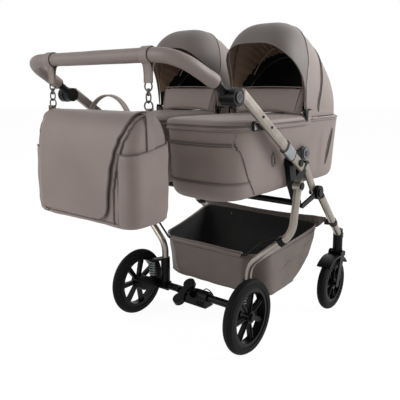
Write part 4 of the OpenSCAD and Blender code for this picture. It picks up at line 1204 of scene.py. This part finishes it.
for side, tag in sides:
    x0 = bagSet["x"] + side * hangSet["at"]

    def hangSpot(u, v):
        p = hangLine[round(v * (hangSet["steps"] - 1))]
        return spot(x0 + hangSet["wide"] * (u - 0.5), bagSet["y"] + p.y, hangSet["barZ"] + p.z)
    parts = [webbing("hangStrap", hangSpot, 6, hangSet["steps"] - 1, "taupeBag", 0.0022, 0.0006)]
    for u in (0.12, 0.88):
        line = [hangSpot(u, v) + Vector((0, -0.0015, 0)) for v in spread(0.80, 1.0, 12)]
        parts.append(pipe("hangStitch", line, 0.0006, "thread"))
    strap = joined("hangStrap_" + tag, parts)
    done(strap, "bag", "bag_cloth", *(["hang_straps"] if side > 0 else []))

    at = lambda dz: spot(x0, bagSet["y"], hangSet["barZ"] + dz)
    metal = [ringPiece(at(z), *row) for z, *row in hangSet["rings"]]
    metal.append(turnedPiece(hangSet["swivel"], at(hangSet["swivelZ"])))
    done(joined("hangFittings_" + tag, metal), "bag", "silver_trim")

    def tabSpot(u, v):
        z = tabSet["top"] - tabSet["long"] * v
        hug = 0.3 + 0.48 * sin(pi * v)
        x = max(bagWidth(min(-1, z)) / 2, tabSet["bagHalf"]) + tabSet["gap"]
        x = x if v > tabSet["headShare"] else tabSet["head"]
        return bagSpot(side * (x + hug), tabSet["wide"] * (u - 0.5), z)
    tab = webbing("bagTab_" + tag, tabSpot, 6, 30, "taupeBag", 0.0024, 0.0006)
    done(tab, "bag", "bag_cloth")
print("bag hangs from the bar")


# push handle

gripSet = {
    "start": (333.2, -281.9, 885.7), "elbow": (334.7, -275, 882), "corner": (305, -410, 954), "bend": 0.095,
    "radius": 0.0194, "steps": 149, "up": (0, 0.32, 0.95),
    "collar": [(-0.001, 0.0150), (-0.001, 0.0186), (0.0004, 0.0190), (0.0026, 0.0188), (0.0034, 0.0172),
               (0.0034, 0.0132)],  # along and out
}
gx, gy, gz = gripSet["start"]
cx, cy, cz = gripSet["corner"]
gripLine = [spot(gx, gy, gz), spot(cx, cy, cz), spot(-cx, cy, cz), spot(-gx, gy, gz)]
gripLine = softCorners(gripLine, [0, gripSet["bend"], gripSet["bend"], 0], False, 18)
gripLine = evenPoints(gripLine, gripSet["steps"] + 1)


def gripSpot(u, v, out=0.0):
    last = gripSet["steps"]
    k = round(v * last)
    ahead = (gripLine[min(last, k + 1)] - gripLine[max(0, k - 1)]).normalized()
    flat = ahead.cross(Vector(gripSet["up"])).normalized()
    up = flat.cross(ahead).normalized()
    t = 2 * pi * u
    ends = min(k, last - k)
    swell = 0.0008 * sin(min(1, ends / 6) * pi)
    dent = 0.0009 * exp(-(((t + pi) % (2 * pi) - pi) / 0.10) ** 2)  # the sewn seam
    r = gripSet["radius"] + swell - dent + out
    r *= 0.93 if ends == 0 else 1
    return gripLine[k] + (up * cos(t) + flat * sin(t)) * r


grip = surface("gripSleeve", gripSpot, 48, gripSet["steps"], ["grip"], wrap=True)
ruffle(grip, 0.05, 0.0005, 6.1)
smooth(grip, 60)
done(grip, "handle", "leather_grip", "handle_grip")
stitches = []
for k in range(4, 147, 2):  # short stitches across the seam
    line = [gripSpot(u, k / gripSet["steps"], 0.0004) for u in spread(-0.018, 0.018, 6)]
    stitches.append(pipe("stitch", line, 0.00055, "thread", roundness=1))
done(joined("gripStitches", stitches), "handle", "leather_grip")
collars = []
for side in (-1, 1):
    a = spot(side * gx, gy, gz)
    b = spot(side * gripSet["elbow"][0], *gripSet["elbow"][1:])
    d = (b - a).normalized()
    f = d.cross(Vector((1, 0, 0))).normalized()
    g = d.cross(f)
    around = [f * cos(t) + g * sin(t) for t in circle(32)]
    rings = [[a + d * s + q * r for q in around] for s, r in gripSet["collar"]]
    collars.append(lofted("collar", rings, ["plastic"]))
    smooth(collars[-1], 40)
done(joined("gripCollars", collars), "handle", "black_plastic")
print("push handle is wrapped")


# trim on the cots and the frame

trimSet = {
    "plate": [(-116, 778), (-58, 774), (-46, 750), (-112, 747)], "plateX": 156.6,
    "layers": (  # share of the plate's outline and height over it
        ("plastic", ((0.01, 0.6), (0.74, 0.6), (0.76, 1.0), (0.98, 1.0), (1.0, 0.4), (1.0, -1.4), (0.9, -1.8))),
        ("chrome", ((0.01, 1.7), (0.72, 1.7), (0.76, 1.3), (0.76, 0.2)))),
    "slit": [(438, 724), (408, 592)], "slitWide": 11, "loopAt": (31, 649),
}
sleeveSet = {"start": (358, -200, 857), "along": (0, 0.82439, -0.56604), "up": (0, 0.56604, 0.82439),
             "ends": (292, 348), "radius": 13.6, "flat": 7}
for side, tag in sides:
    # a slim plate under the tube, rounded and bordered
    border = softCorners([Vector((0, y, z)) for y, z in trimSet["plate"]], [3] * 4, True, 5)
    middle = middleOf(border)
    layers = []
    for label, rows in trimSet["layers"]:
        rings = []
        for share, out in rows:
            ring = [middle.lerp(p, share) for p in border]
            rings.append([spot(side * (cotSet["x"] + trimSet["plateX"] + out), p.y, p.z) for p in ring])
        layers.append(lofted("trimLayer", rings, [label]))
    plate = joined("trimPlate_" + tag, layers)
    smooth(plate, 30)
    done(plate, "cot_" + tag, "silver_trim")

    # vent slit near the head, a long lens with a raised lip
    (y0, z0), (y1, z1) = trimSet["slit"]
    lens = []
    for t in circle(40):
        s = 0.5 - 0.5 * cos(t)
        wide = trimSet["slitWide"] * sin(t) * (1 if t < pi else 0.8)
        lens.append((y0 + (y1 - y0) * s + wide, z0 + (z1 - z0) * s))
    ring = sideLine(side, lens, 1, 0.8)
    middle = middleOf(ring)
    rings = [[middle.lerp(p, share) for p in ring] for share in (0.02, 0.5, 1)]
    slit = lofted("ventNet", rings, ["darkLining"])
    smooth(slit)
    lip = pipe("ventLip", ring, 0.0016, "piping", closed=True)
    done(joined("ventSlit_" + tag, [slit, lip]), "cot_" + tag, "taupe_fabric")

    # small sewn pull loop
    y, z = trimSet["loopAt"]
    pull = [(y + 9 * cos(t) - 4 * sin(t), z + 20 * sin(t)) for t in circle(28)]
    pullLoop = pipe("pullLoop_" + tag, sideLine(side, pull, 1, 1.8), 0.0038, "piping", closed=True)
    done(pullLoop, "cot_" + tag, "taupe_fabric")

    # dark edges of the fold-lock sleeve
    rims = []
    for s in sleeveSet["ends"]:
        oval = []
        for t in circle(40):
            up = sleeveSet["radius"] * sin(t)
            up += copysign(sleeveSet["flat"], up) * min(1, abs(sin(t)) * 4)
            p = Vector(sleeveSet["start"]) + Vector(sleeveSet["along"]) * s + Vector(sleeveSet["up"]) * up
            oval.append(spot(side * (p.x + sleeveSet["radius"] * cos(t)), p.y, p.z))
        rims.append(pipe("sleeveRim", oval, 0.0011, "plastic", closed=True))
    done(joined("sleeveRims_" + tag, rims), "lock_sleeve_" + tag, "black_plastic")
print("trim is on")

size = {"cad": [list(c) for c in cadBox], "visual": [list(c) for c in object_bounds()]}
